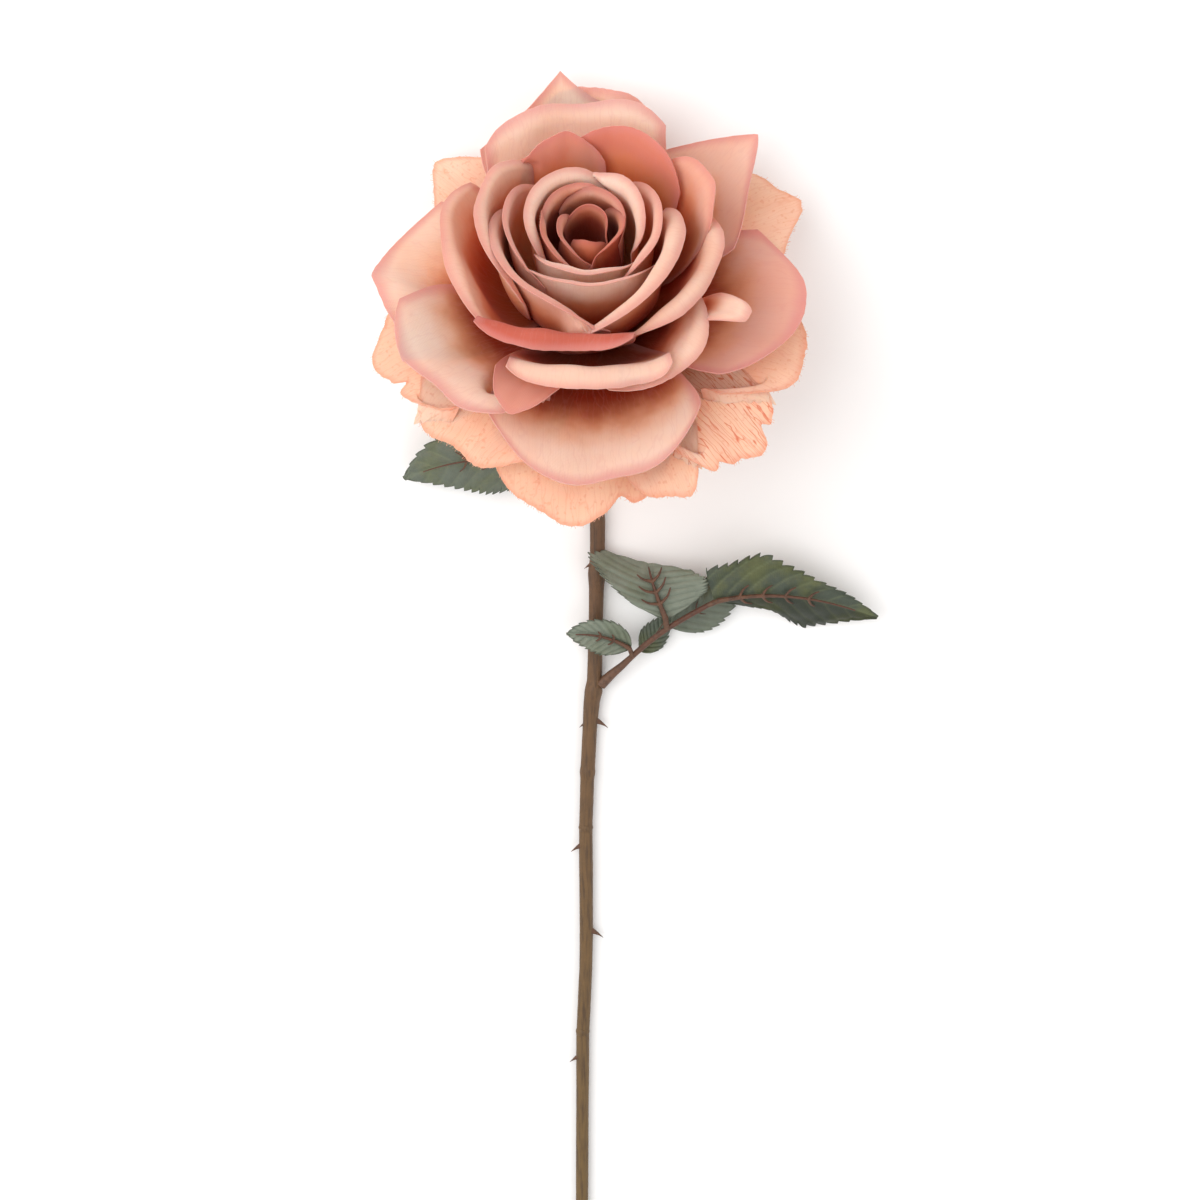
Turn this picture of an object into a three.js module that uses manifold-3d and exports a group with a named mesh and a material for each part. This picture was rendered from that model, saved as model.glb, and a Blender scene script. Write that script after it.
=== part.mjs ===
// Artificial cut rose lying on a table: cloth petals round a moulded calyx, a sleeved wire stem,
// one spray of five leaflets and one single leaf under the bloom.  Millimetres, +Z up.
// The stem runs along -Y on the table and the bloom, at the +Y end, looks up and forward.
import * as THREE from "three";
import { mergeVertices } from "three/addons/utils/BufferGeometryUtils.js";
import Module from "manifold-3d";

const wasm = await Module();
wasm.setup();

// ---- driving dimensions ----
const BLOOM_HEIGHT = 32; // bloom centre above the table
const BLOOM_RISE = 47; // angle of the bloom's axis above the table, degrees
const PETAL_THICK = 0.5;
const LEAF_THICK = 0.5;
const GAP = 0.32; // clear space between neighbouring pieces
const FOOT_RADIUS = 2; // where the innermost petal's foot stands
const FOOT_STEP = 0.2; // each later petal stands this much further out
const FOOT_HEIGHT = 3; // height of the innermost petal's foot
const FOOT_DROP = 0.15; // each later petal starts this much lower
const FOOT_WIDE = 0.14; // foot width as a part of the petal's half width
const CALYX_LENGTH = 14; // from the bloom centre down to the stem's top
const HIP_RADIUS = 7;
const SEPALS = 5;
const SEPAL_LENGTH = 26;
const STEM_TOP_RADIUS = 2.65;
const STEM_CUT_RADIUS = 2.1;
const STEM_CUT_Y = -345; // where the stem is cut
const NODE_Y = -139; // where the leaf spray leaves the stem
const THORN_RADIUS = 1;
const SLIVER = 0.04; // edges that stray less than this from flat are merged
const ROUND_SIDES = 12;

const rad = THREE.MathUtils.degToRad;
const lerp = THREE.MathUtils.lerp;
const smooth = (t) => THREE.MathUtils.smoothstep(t, 0, 1);
const vec = (x, y, z) => new THREE.Vector3(x, y, z);
const UP = vec(0, 0, 1);

// ---- petals, from the heart outwards ----
// az: where the petal points, degrees round the axis; reach, height: where its tip is;
// lift, tip: slope at the foot and at the tip; in, out: how far each slope is kept;
// wide: half width; foot, cup: curl across the foot and the tip; drop, round: how far the rim
// falls away to the sides; lean: one corner longer than the other; roll: the rim turned outwards,
// from the share rollAt of the length on; spiral: one side standing further out than the other.
const OUTER = {
  lift: 5, tip: 8, in: 0.4, out: 0.4, foot: 85, cup: 25, drop: 0.3, round: 2.4,
  lean: 0, roll: 0, rollAt: 0.88, spiral: 0,
};
const GUARD = { ...OUTER, tip: -15, foot: 80, cup: 10, round: 3 };
const MID = {
  ...OUTER, lift: 12, tip: 60, in: 0.5, out: 0.35, foot: 90, cup: 60, drop: 0.25, round: 2.6, roll: 60,
};
const LOW = { ...MID, lift: 5, tip: 50, cup: 25 };
const CUP = {
  ...MID, lift: 25, tip: 95, in: 0.42, foot: 150, cup: 120, drop: 0.2, roll: 50, rollAt: 0.9,
};
const HEART = { ...CUP, lift: 50, foot: 120, cup: 140, roll: 45 };
const PETALS = {
  heart_core: {
    ...HEART, az: -95, reach: 5.2, height: 41, wide: 10.5, lift: 60,
    tip: 115, foot: 200, cup: 215, roll: -20, spiral: 1,
  },
  heart_wrap: {
    ...HEART, az: 60, reach: 6.2, height: 43, wide: 11.5, lift: 60,
    foot: 180, cup: 200, roll: 10, spiral: 1.5,
  },
  heart_left_curl: { ...HEART, az: 200, reach: 7.8, height: 44, wide: 12, cup: 180, spiral: 1.5 },
  heart_right_curl: { ...HEART, az: -12, reach: 9, height: 44, wide: 13, cup: 170, spiral: 1.5 },
  heart_upper: { ...HEART, az: 58, reach: 10.5, height: 45.5, wide: 15, cup: 170, spiral: 1.5 },
  heart_top: { ...HEART, az: 120, reach: 12, height: 46, wide: 16.5, cup: 160, spiral: 1.5 },
  heart_left: { ...HEART, az: 200, reach: 13, height: 46, wide: 16, cup: 150, spiral: 1.5 },
  cup_top_left: {
    ...CUP, az: 146, reach: 15.5, height: 50, wide: 23, foot: 160,
    cup: 170, roll: 70, rollAt: 0.88,
  },
  cup_top_right: {
    ...CUP, az: 40, reach: 14, height: 50, wide: 17, foot: 140,
    cup: 140, roll: 70, rollAt: 0.88,
  },
  cup_low_inner: { ...CUP, az: -95, reach: 18, height: 49, wide: 19, cup: 130, roll: 60 },
  cup_right: { ...CUP, az: -5, reach: 20, height: 50, wide: 22, roll: 60 },
  cup_bottom: { ...CUP, az: -90, reach: 23.5, height: 49, wide: 25, cup: 115, rollAt: 0.93 },
  cup_left: { ...CUP, az: 185, reach: 24, height: 49, wide: 22, cup: 110, rollAt: 0.93 },
  mid_inner_right: {
    ...MID, az: -38, reach: 28, height: 52, wide: 30, tip: 80,
    cup: 100, roll: 90, spiral: -6,
  },
  mid_low_left: {
    ...MID, az: 220, reach: 30.5, height: 50, wide: 31, tip: 72,
    cup: 110, rollAt: 0.92, spiral: 4,
  },
  mid_up_left: { ...MID, az: 178, reach: 32.5, height: 52, wide: 28, tip: 70, cup: 90, rollAt: 0.92 },
  mid_top_left: {
    ...MID, az: 107, reach: 32.5, height: 46, wide: 14, cup: 50,
    roll: 0, drop: 0.2, round: 3,
  },
  mid_top: { ...MID, az: 64, reach: 35, height: 47, wide: 20, cup: 50, roll: 10, drop: 0.2, round: 3 },
  mid_up_right: { ...MID, az: 22, reach: 40, height: 47, wide: 18, roll: 20 },
  mid_right: { ...MID, az: -27, reach: 39.5, height: 46, wide: 27, cup: 60, roll: 70, rollAt: 0.86 },
  mid_left: { ...MID, az: 187, reach: 43.5, height: 44, wide: 28, cup: 20, roll: 50, rollAt: 0.9 },
  low_mid: {
    ...LOW, az: -103, reach: 42, height: 47.5, wide: 24, tip: 60,
    cup: 12, drop: 0.07, roll: 80, rollAt: 0.85, spiral: -2,
  },
  low_bottom: {
    ...LOW, az: -89, reach: 53.5, height: 44, wide: 25, tip: 50,
    drop: 0.1, roll: 80, rollAt: 0.85,
  },
  low_right: { ...LOW, az: -54, reach: 53, height: 37, wide: 22, tip: 35, cup: 50, roll: 50, spiral: -8 },
  low_tip: { ...LOW, az: -31, reach: 58, height: 38, wide: 6, tip: 10, foot: 60, cup: 40, roll: 20 },
  low_left: { ...LOW, az: -113, reach: 62, height: 26, wide: 11, tip: 0, cup: 30, roll: 0 },
  outer_top: {
    ...OUTER, az: 96, reach: 46, height: 43, wide: 29, lift: 10,
    tip: 60, drop: 0.15, round: 4, lean: -0.02, roll: 40,
  },
  outer_top_tip: {
    ...OUTER, az: 98, reach: 63, height: 37, wide: 29, lift: 10,
    tip: 40, drop: 0.28, round: 0.85,
  },
  outer_top_back: { ...OUTER, az: 84, reach: 58, height: 34, wide: 20, lift: 10, tip: 40, drop: 0.15 },
  outer_up_right: {
    ...OUTER, az: 37, reach: 66.5, height: 34, wide: 24, lift: 10,
    tip: 35, drop: 0.4, round: 1.15,
  },
  outer_bottom: { ...OUTER, az: -88, reach: 74, height: 11, wide: 35, drop: 0.36, round: 2.6 },
  outer_right: { ...OUTER, az: -14, reach: 70, height: 18, wide: 29, drop: 0.3, round: 2 },
  outer_left_low: { ...OUTER, az: -141, reach: 66, height: 20, wide: 27, drop: 0.16, round: 3 },
  outer_left_up: { ...OUTER, az: -173, reach: 66, height: 20, wide: 29, drop: 0.25, round: 1.3, lean: 0.1 },
  guard_low_middle: { ...GUARD, az: -69, reach: 76, height: -2, wide: 15, drop: 0.25 },
  guard_low_right: { ...GUARD, az: -49, reach: 77, height: 0, wide: 18, drop: 0.15, round: 4 },
  guard_low_left: { ...GUARD, az: -125, reach: 71, height: 2, wide: 24, drop: 0.2 },
  guard_left: { ...GUARD, az: -153, reach: 71, height: 4, wide: 22, drop: 0.2 },
  guard_right: { ...GUARD, az: -22, reach: 73, height: 4, wide: 22 },
  guard_up_right: { ...GUARD, az: 26, reach: 77, height: 8, wide: 22, round: 1.3 },
  guard_up_left: { ...GUARD, az: 137, reach: 67, height: 10, wide: 21, drop: 0.35, round: 1.3 },
  guard_bottom: { ...GUARD, az: -92, reach: 76, height: -8, wide: 28, drop: 0.25, round: 3.4 },
  guard_top_left: { ...GUARD, az: 114, reach: 57, height: 7, wide: 24 },
  guard_top_right: { ...GUARD, az: 66, reach: 57, height: 7, wide: 24 },
};

const petalCloth = (name) => {
  const cloth = {
    heart: 0xc9806c, cup: 0xe0a795, mid: 0xdb9a86, low: 0xe2ab98, outer: 0xe9bfaf, guard: 0xf5b896,
  };
  const color = cloth[name.split("_")[0]];
  return new THREE.MeshStandardMaterial({ color, roughness: 0.8, side: THREE.DoubleSide });
};
const leafCloth = new THREE.MeshStandardMaterial({ color: 0x5f6e55, roughness: 0.75 });
const brownPlastic = new THREE.MeshStandardMaterial({ color: 0x6e4a36, roughness: 0.55 });
const calyxPlastic = new THREE.MeshStandardMaterial({ color: 0x5d6b45, roughness: 0.6 });

// ---- solids ----
// A geometry as a manifold solid, and back again.
function solid(geometry) {
  const bare = geometry.clone();
  bare.deleteAttribute("normal");
  bare.deleteAttribute("uv");
  const merged = mergeVertices(bare, 1e-4);
  return new wasm.Manifold(
    new wasm.Mesh({
      numProp: 3,
      vertProperties: new Float32Array(merged.attributes.position.array),
      triVerts: new Uint32Array(merged.index.array),
    }),
  );
}

function geometryOf(body) {
  const { vertProperties, triVerts } = body.getMesh();
  const geometry = new THREE.BufferGeometry();
  geometry.setAttribute("position", new THREE.BufferAttribute(vertProperties, 3));
  geometry.setIndex(new THREE.BufferAttribute(triVerts, 1));
  return geometry;
}

// The largest of the bodies a cut leaves, without the slivers along the cut.
function mainBody(body) {
  const [largest] = body.decompose().sort((a, b) => b.volume() - a.volume());
  return largest.asOriginal().simplify(SLIVER);
}

// A closed sheet over a grid of points, rows by columns, with the given thickness.
function sheet(grid, thick) {
  const rows = grid.length;
  const columns = grid[0].length;
  const held = (index, count) => Math.min(count - 1, Math.max(0, index));
  const at = (row, column) => grid[held(row, rows)][held(column, columns)];
  const points = [];
  for (const side of [0.5, -0.5]) {
    for (let row = 0; row < rows; row++) {
      for (let column = 0; column < columns; column++) {
        const along = at(row + 1, column).clone().sub(at(row - 1, column));
        const across = at(row, column + 1).clone().sub(at(row, column - 1));
        const normal = across.cross(along).normalize();
        points.push(grid[row][column].clone().addScaledVector(normal, side * thick));
      }
    }
  }
  const layer = rows * columns;
  const index = [];
  const quad = (a, b, c, d) => index.push(a, b, c, a, c, d);
  for (let row = 0; row < rows - 1; row++) {
    for (let column = 0; column < columns - 1; column++) {
      const a = row * columns + column;
      quad(a, a + 1, a + columns + 1, a + columns);
      quad(layer + a, layer + a + columns, layer + a + columns + 1, layer + a + 1);
    }
  }
  const rim = [];
  for (let column = 0; column < columns - 1; column++) rim.push(column);
  for (let row = 0; row < rows - 1; row++) rim.push(row * columns + columns - 1);
  for (let column = columns - 1; column > 0; column--) rim.push((rows - 1) * columns + column);
  for (let row = rows - 1; row > 0; row--) rim.push(row * columns);
  rim.forEach((a, i) => {
    const b = rim[(i + 1) % rim.length];
    quad(a, a + layer, b + layer, b);
  });
  const geometry = new THREE.BufferGeometry().setFromPoints(points);
  return geometry.setIndex(index);
}

// A closed round bar through the points, each with its own radius.
function bar(points, radii, sides) {
  const rings = [];
  let across = null;
  points.forEach((point, i) => {
    const before = points[Math.max(0, i - 1)];
    const after = points[Math.min(points.length - 1, i + 1)];
    const tangent = after.clone().sub(before).normalize();
    if (!across) across = Math.abs(tangent.z) < 0.9 ? UP : vec(1, 0, 0);
    across = across.clone().addScaledVector(tangent, -across.dot(tangent)).normalize();
    const other = tangent.clone().cross(across);
    for (let side = 0; side < sides; side++) {
      const angle = (2 * Math.PI * side) / sides;
      const reach = across.clone().multiplyScalar(Math.cos(angle)).addScaledVector(other, Math.sin(angle));
      rings.push(point.clone().addScaledVector(reach, radii[i]));
    }
  });
  const first = rings.push(points[0].clone()) - 1;
  const last = rings.push(points[points.length - 1].clone()) - 1;
  const index = [];
  for (let ring = 0; ring < points.length - 1; ring++) {
    for (let side = 0; side < sides; side++) {
      const a = ring * sides + side;
      const b = ring * sides + ((side + 1) % sides);
      index.push(a, b, b + sides, a, b + sides, a + sides);
    }
  }
  const end = (points.length - 1) * sides;
  for (let side = 0; side < sides; side++) {
    const next = (side + 1) % sides;
    index.push(first, next, side, last, end + side, end + next);
  }
  return new THREE.BufferGeometry().setFromPoints(rings).setIndex(index);
}

// ---- petals ----
const PETAL_ROWS = [0, 0.16, 0.36, 0.56, 0.74, 0.87, 0.94, 1];
const PETAL_COLUMNS = 6;
const ROLL_STEPS = 6;
const ROLL_GAIN = 1.35; // every rim is rolled this much further than its angle
const ROLL_EASE = 0.75; // and less towards its two corners
const WIDEST_AT = 0.72;

// The petal's middle line, out from the axis and up it.
function middleLine(p, order) {
  const foot = new THREE.Vector2(FOOT_RADIUS + FOOT_STEP * order, FOOT_HEIGHT - FOOT_DROP * order);
  const tip = new THREE.Vector2(p.reach, p.height);
  const length = foot.distanceTo(tip);
  const handle = (angle, share) => {
    const way = new THREE.Vector2(Math.cos(rad(angle)), Math.sin(rad(angle)));
    return way.multiplyScalar(share * length);
  };
  const rise = foot.clone().add(handle(p.lift, p.in));
  const end = tip.clone().sub(handle(p.tip, p.out));
  return new THREE.CubicBezierCurve(foot, rise, end, tip);
}

// A point of the petal before its rim is rolled: u runs across from -1 to 1, q from foot to rim.
function openPoint(p, line, u, q) {
  const v = q * (1 - p.drop * Math.abs(u) ** p.round + p.lean * u);
  const at = line.getPoint(Math.min(1, v));
  const along = line.getTangent(Math.min(1, v));
  at.addScaledVector(along, Math.max(0, v - 1) * line.getLength());
  const widening = Math.sin((Math.PI / 2) * Math.min(1, v / WIDEST_AT)) ** 0.9;
  const half = p.wide * lerp(FOOT_WIDE, 1, widening);
  const bend = rad(lerp(p.foot, p.cup, v)) / 2;
  const side = (half * Math.sin(bend * u)) / bend;
  const inwards = (half * (1 - Math.cos(bend * u))) / bend;
  const out = at.x - inwards * along.y;
  const reach = Math.hypot(out, side) + p.spiral * u * smooth(q * 1.5);
  const angle = Math.atan2(side, out) + rad(p.az);
  return vec(reach * Math.cos(angle), reach * Math.sin(angle), at.y + inwards * along.x);
}

function petalPoint(p, line, u, q) {
  if (!p.roll || q <= p.rollAt) return openPoint(p, line, u, q);
  const near = 0.01;
  const point = openPoint(p, line, u, p.rollAt);
  for (let step = 1; step <= ROLL_STEPS; step++) {
    const before = lerp(p.rollAt, q, (step - 1) / ROLL_STEPS);
    const after = lerp(p.rollAt, q, step / ROLL_STEPS);
    const move = openPoint(p, line, u, after).sub(openPoint(p, line, u, before));
    const along = move.clone().normalize();
    const across = openPoint(p, line, u + near, after).sub(openPoint(p, line, u - near, after));
    const inner = along.clone().cross(across).normalize();
    const full = rad(ROLL_GAIN * p.roll) * (1 - ROLL_EASE * Math.abs(u) ** 3);
    const turn = full * smooth((after - p.rollAt) / (1 - p.rollAt));
    point.addScaledVector(along, Math.cos(turn) * move.length());
    point.addScaledVector(inner, -Math.sin(turn) * move.length());
  }
  return point;
}

// The petal's closed sheet; swell makes it larger all round, as the room its neighbours keep off.
function petalSheet(p, order, swell) {
  const line = middleLine(p, order);
  const wider = 1 + swell / p.wide;
  const grid = PETAL_ROWS.map((row) => {
    const q = row === 1 ? 1 + swell / line.getLength() : row;
    const points = [];
    for (let column = 0; column <= PETAL_COLUMNS; column++) {
      const u = ((2 * column) / PETAL_COLUMNS - 1) * wider;
      points.push(petalPoint(p, line, u, q));
    }
    return points;
  });
  return sheet(grid, PETAL_THICK + 2 * swell);
}

// ---- calyx ----
function calyxBody(swell) {
  const dome = [
    [0, FOOT_HEIGHT - 1], [FOOT_RADIUS, FOOT_HEIGHT - 1.2],
    [FOOT_RADIUS + 4, FOOT_HEIGHT - 4.2], [FOOT_RADIUS + 8, FOOT_HEIGHT - 7.2],
  ];
  const cup = [
    [FOOT_RADIUS + 7, -5.4], [HIP_RADIUS - 0.4, -6.4], [HIP_RADIUS, -8.4],
    [HIP_RADIUS - 1, -11], [STEM_TOP_RADIUS + 0.6, -CALYX_LENGTH + 1], [0, -CALYX_LENGTH],
  ];
  const profile = [...dome, ...cup].map(([out, up]) => new THREE.Vector2(out, up + (out ? 0 : swell)));
  const lathe = new THREE.LatheGeometry(profile.reverse(), ROUND_SIDES);
  return solid(lathe.rotateX(Math.PI / 2));
}

// A sepal bends back under the petals and ends in a point.
function sepal(turn) {
  const line = new THREE.CubicBezierCurve(
    new THREE.Vector2(HIP_RADIUS - 3, -5.2), new THREE.Vector2(HIP_RADIUS + 4, -6.5),
    new THREE.Vector2(0.7 * SEPAL_LENGTH, -9), new THREE.Vector2(SEPAL_LENGTH, -14.5),
  );
  const grid = [0, 0.25, 0.5, 0.75, 1].map((v) => {
    const at = line.getPoint(v);
    const half = lerp(3.4, 0.4, v ** 1.6);
    return [-1, 0, 1].map((u) => vec(at.x, u * half, at.y - 0.8 * Math.abs(u)));
  });
  return solid(sheet(grid, 0.6).rotateZ(rad(turn)));
}

const sepalTurn = 360 / SEPALS;
const sepals = Array.from({ length: SEPALS }, (_, i) => sepal(90 + sepalTurn * (i + 0.5)));
const calyx = sepals.reduce((body, next) => body.add(next), calyxBody(0));

const bloom = new THREE.Group();
bloom.rotation.x = rad(BLOOM_RISE) - Math.PI / 2;
bloom.position.z = BLOOM_HEIGHT;

function add(group, name, body, material) {
  const mesh = new THREE.Mesh(geometryOf(body), material);
  mesh.name = name;
  group.add(mesh);
}

// Each petal gives way to the calyx and to every petal nearer the heart.
const kept = [calyx];
Object.entries(PETALS).forEach(([name, p], order) => {
  const whole = solid(petalSheet(p, order, 0));
  const trimmed = kept.reduce((body, room) => body.subtract(room), whole);
  const petal = mainBody(trimmed);
  add(bloom, `petal_${name}`, petal, petalCloth(name));
  kept.push(solid(petalSheet(p, order, GAP)));
});
add(bloom, "calyx", calyx, calyxPlastic);

// ---- stem ----
// The neck bends from the calyx down on to the table, then the stem runs along it.
const axis = vec(0, Math.cos(rad(BLOOM_RISE)), Math.sin(rad(BLOOM_RISE)));
const neckTop = vec(0, 0, BLOOM_HEIGHT).addScaledVector(axis, -CALYX_LENGTH - GAP);
const neckRadius = (neckTop.z - STEM_TOP_RADIUS) / (1 - Math.cos(rad(BLOOM_RISE)));
const NECK_STEPS = 6;

function stemRadius(y) {
  const share = (y - neckTop.y) / (STEM_CUT_Y - neckTop.y);
  return lerp(STEM_TOP_RADIUS, STEM_CUT_RADIUS, share);
}

// Where the stem runs on the table: Y, X, and how much a knot or a joint of the sleeve swells it.
const STEM_ROUTE = [
  [-64, 2.2, 0], [-80, 3, 0], [-92, 3, 0], [-98, 2.8, 0.45], [-104, 2.6, 0], [-122, 2.3, 0],
  [NODE_Y + 4, 2, 0.1], [NODE_Y, 1.7, 0.6], [NODE_Y - 4, 1.1, 0.3], [-152, 0.4, 0], [-166, -0.3, 0.1],
  [-168, -0.4, 0.3], [-171, -0.5, 0], [-187, -1, 0], [-188, -1, 0.2], [-189, -1, 0],
  [-225, -0.9, 0], [-240, -1.1, 0], [-262, -2.1, 0], [-263, -2.2, 0.2], [-264, -2.2, 0],
  [-300, -2.4, 0], [STEM_CUT_Y, -2.6, 0],
].sort((a, b) => b[0] - a[0]);
const stemPoints = [];
const stemRadii = [];
for (let step = 0; step < NECK_STEPS; step++) {
  const slope = rad(BLOOM_RISE) * (1 - step / NECK_STEPS);
  const along = neckRadius * (Math.sin(rad(BLOOM_RISE)) - Math.sin(slope));
  const down = neckRadius * (1 - Math.cos(slope));
  stemPoints.push(vec((1.6 * step) / NECK_STEPS, neckTop.y - along, STEM_TOP_RADIUS + down));
  stemRadii.push(STEM_TOP_RADIUS);
}
for (const [y, x, swell] of STEM_ROUTE) {
  const radius = stemRadius(y) + swell;
  stemPoints.push(vec(x, y, stemRadius(y) + swell));
  stemRadii.push(radius);
}

// Thorns: Y, side (+1 is +X) and length.
const THORNS = [
  [-95, -1, 2], [-150, 1, 4.2], [-151, -1, 1.6], [-195, -1, 3.4], [-226, 1, 4.2], [-273, -1, 2.8],
];
function thorn([y, side, length]) {
  const next = STEM_ROUTE.findIndex(([at]) => at < y);
  const [y0, x0] = STEM_ROUTE[next - 1];
  const [y1, x1] = STEM_ROUTE[next];
  const x = lerp(x0, x1, (y - y0) / (y1 - y0));
  const sunk = 1;
  const cone = new THREE.ConeGeometry(THORN_RADIUS, length + sunk, 6);
  cone.translate(0, (length - sunk) / 2, 0).rotateZ(side * rad(-115));
  return solid(cone.translate(x + side * (stemRadius(y) - 0.2), y, stemRadius(y) + 0.4));
}
const sleeve = solid(bar(stemPoints, stemRadii, ROUND_SIDES));
const stem = THORNS.reduce((body, row) => body.add(thorn(row)), sleeve);
const roomRadii = stemRadii.map((radius) => radius + GAP);
const stemRoom = solid(bar(stemPoints, roomRadii, ROUND_SIDES));

// ---- leaves ----
// Each blade: midrib from root to tip through a control point, half width, and how far its two
// halves (left and right of the way it points) are folded up or down, degrees.  Y is counted from
// the blade's start.  leftEdge, rightEdge: how wide each half is at shares of the midrib; slant: the
// left half reaches this much further forward.
const LEAVES = {
  leaflet_end: {
    start: NODE_Y, root: [42, 34, 12], way: [68, 41, 15.5], tip: [97, 27, 8],
    wide: 13.5, left: 14, right: -40,
    leftEdge: [[0, 0.95], [0.12, 1], [0.3, 1.2], [0.45, 0.85], [0.6, 0.55], [0.75, 0.4], [1, 0.05]],
    rightEdge: [[0, 0.1], [0.2, 0.5], [0.35, 0.65], [0.52, 1.15], [0.63, 1.3], [0.78, 0.95], [1, 0.05]],
  },
  leaflet_upper: {
    start: NODE_Y, root: [25.8, 28, 11.5], way: [21, 41, 17], tip: [19.9, 46.2, 8.5],
    wide: 17, left: 14, right: -4, slant: 0.45,
    leftEdge: [[0, 0.1], [0.15, 0.45], [0.3, 0.65], [0.5, 0.9], [0.7, 1.1], [0.85, 1.15], [1, 0.8]],
    rightEdge: [[0, 0.1], [0.15, 0.5], [0.3, 0.75], [0.5, 0.98], [0.7, 1.06], [0.85, 1.05], [1, 0.8]],
  },
  leaflet_left: {
    start: NODE_Y, root: [14, 16.5, 8], way: [5, 24, 13], tip: [-7.5, 21.5, 9],
    wide: 6.5, left: 20, right: 12,
  },
  leaflet_behind: {
    start: NODE_Y, root: [27.5, 23.5, 5.6], way: [40, 31, 5], tip: [52, 39, 4],
    wide: 9, left: -6, right: -6,
  },
  leaflet_low: {
    start: NODE_Y, root: [17.5, 14.5, 4.4], way: [22, 18, 2.6], tip: [27, 27, 2],
    wide: 5, left: 6, right: -6,
  },
  leaf_under_bloom: {
    start: 0, root: [-10, -61, 8], way: [-36, -50, 19], tip: [-61.5, -65, 5],
    wide: 14, left: -20, right: 4,
  },
};
const LEAF_ROWS = 14;
const LEAF_NARROW = 0.1;
const TOOTH = 0.12;

function midrib({ start, root, way, tip }) {
  const [from, through, to] = [root, way, tip].map(([x, y, z]) => vec(x, start + y, z));
  return new THREE.QuadraticBezierCurve3(from, through, to);
}

// The midrib's place, its way along, to its right and up at a share of its length.
function ribFrame(leaf, share) {
  const curve = midrib(leaf);
  const along = curve.getTangent(share);
  const right = along.clone().cross(UP).normalize();
  return { at: curve.getPoint(share), along, right, up: right.clone().cross(along) };
}

// How wide one half of a blade is at a share of its midrib.
function outlineAt(edge, share) {
  if (!edge) return Math.max(LEAF_NARROW, Math.sin(Math.PI * share ** 0.8) ** 0.8);
  const next = Math.max(1, edge.findIndex(([at]) => at >= share));
  const [[before, near], [after, far]] = [edge[next - 1], edge[next]];
  return lerp(near, far, (share - before) / (after - before));
}

function leafBlade(leaf) {
  const grid = [];
  for (let row = 0; row <= LEAF_ROWS; row++) {
    const share = row / LEAF_ROWS;
    const { at, along, right, up } = ribFrame(leaf, share);
    const tooth = row % 2 ? 1 : 1 - TOOTH;
    grid.push([-1, -0.5, 0, 0.5, 1].map((u) => {
      const fold = rad(u < 0 ? leaf.left : leaf.right) * (0.7 + 0.3 * Math.abs(u));
      const half = leaf.wide * tooth * outlineAt(u < 0 ? leaf.leftEdge : leaf.rightEdge, share);
      const out = Math.abs(u) * half;
      const point = at.clone().addScaledVector(along, -(leaf.slant ?? 0) * half * u);
      point.addScaledVector(right, Math.sign(u) * out * Math.cos(fold));
      return point.addScaledVector(up, out * Math.sin(fold));
    }));
  }
  return solid(sheet(grid, LEAF_THICK));
}

// The moulded rib on a blade, with its barbs; from is where its stalk begins.
const RIB_SIDES = 6;
function rib(leaf, from, thick, barbs) {
  const lift = LEAF_THICK / 2 + GAP + thick * 1.15;
  const raised = (share) => {
    const { at, up } = ribFrame(leaf, share);
    return at.addScaledVector(up, lift);
  };
  const shares = [0.04, 0.2, 0.4, 0.6, 0.78];
  const points = [...from, ...shares.map(raised)];
  const radii = points.map((_, i) => {
    const share = Math.max(0, i - from.length + 1) / shares.length;
    return lerp(thick, 0.35 * thick, share);
  });
  let body = solid(bar(points, radii, RIB_SIDES));
  for (const share of barbs) {
    const { along, right, up } = ribFrame(leaf, share);
    const foot = raised(share);
    for (const side of [-1, 1]) {
      const fold = rad(side < 0 ? leaf.left : leaf.right);
      const reach = 0.24 * leaf.wide;
      const rise = reach * Math.sin(fold) * (fold < 0 ? 0.8 : 1);
      const end = foot.clone().addScaledVector(along, reach);
      end.addScaledVector(right, side * reach * Math.cos(fold)).addScaledVector(up, rise);
      body = body.add(solid(bar([foot, end], [0.6 * thick, 0.3 * thick], RIB_SIDES)));
    }
  }
  return body;
}

// The spray's stalk from the stem out to the end leaflet: points, Y from the knot, and radii.
const STALK = [
  [4.2, 2.4, 3.6, 1.9], [7.5, 6, 4.6, 1.6], [11.3, 9.7, 5.9, 1.25], [14.8, 13.5, 7.4, 1],
  [20, 18.7, 9.2, 1], [26.3, 24, 11, 0.95], [34, 29.2, 12.4, 0.9], [40, 32.8, 13.1, 0.85],
];
const stalkPoints = STALK.map(([x, y, z]) => vec(x, NODE_Y + y, z));
const stalk = solid(bar(stalkPoints, STALK.map((row) => row[3]), 8));
const spray = [
  stalk,
  rib(LEAVES.leaflet_end, [stalkPoints[7]], 0.9, [0.16, 0.3, 0.44, 0.58]),
  rib(LEAVES.leaflet_upper, [stalkPoints[5]], 1, [0.24, 0.42, 0.6]),
  rib(LEAVES.leaflet_left, [stalkPoints[3]], 0.8, [0.3, 0.5]),
  rib(LEAVES.leaflet_behind, [stalkPoints[5]], 0.5, []),
  rib(LEAVES.leaflet_low, [stalkPoints[3]], 0.45, []),
].reduce((body, next) => body.add(next));
const loneFoot = vec(-0.6, -66.5, 4.8);
const loneTop = vec(-5, -63.5, 7);
const loneStalk = solid(bar([loneFoot, loneTop], [1.3, 1], 8));
const loneRib = loneStalk.add(rib(LEAVES.leaf_under_bloom, [loneTop], 0.7, [0.3, 0.5]));

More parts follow.
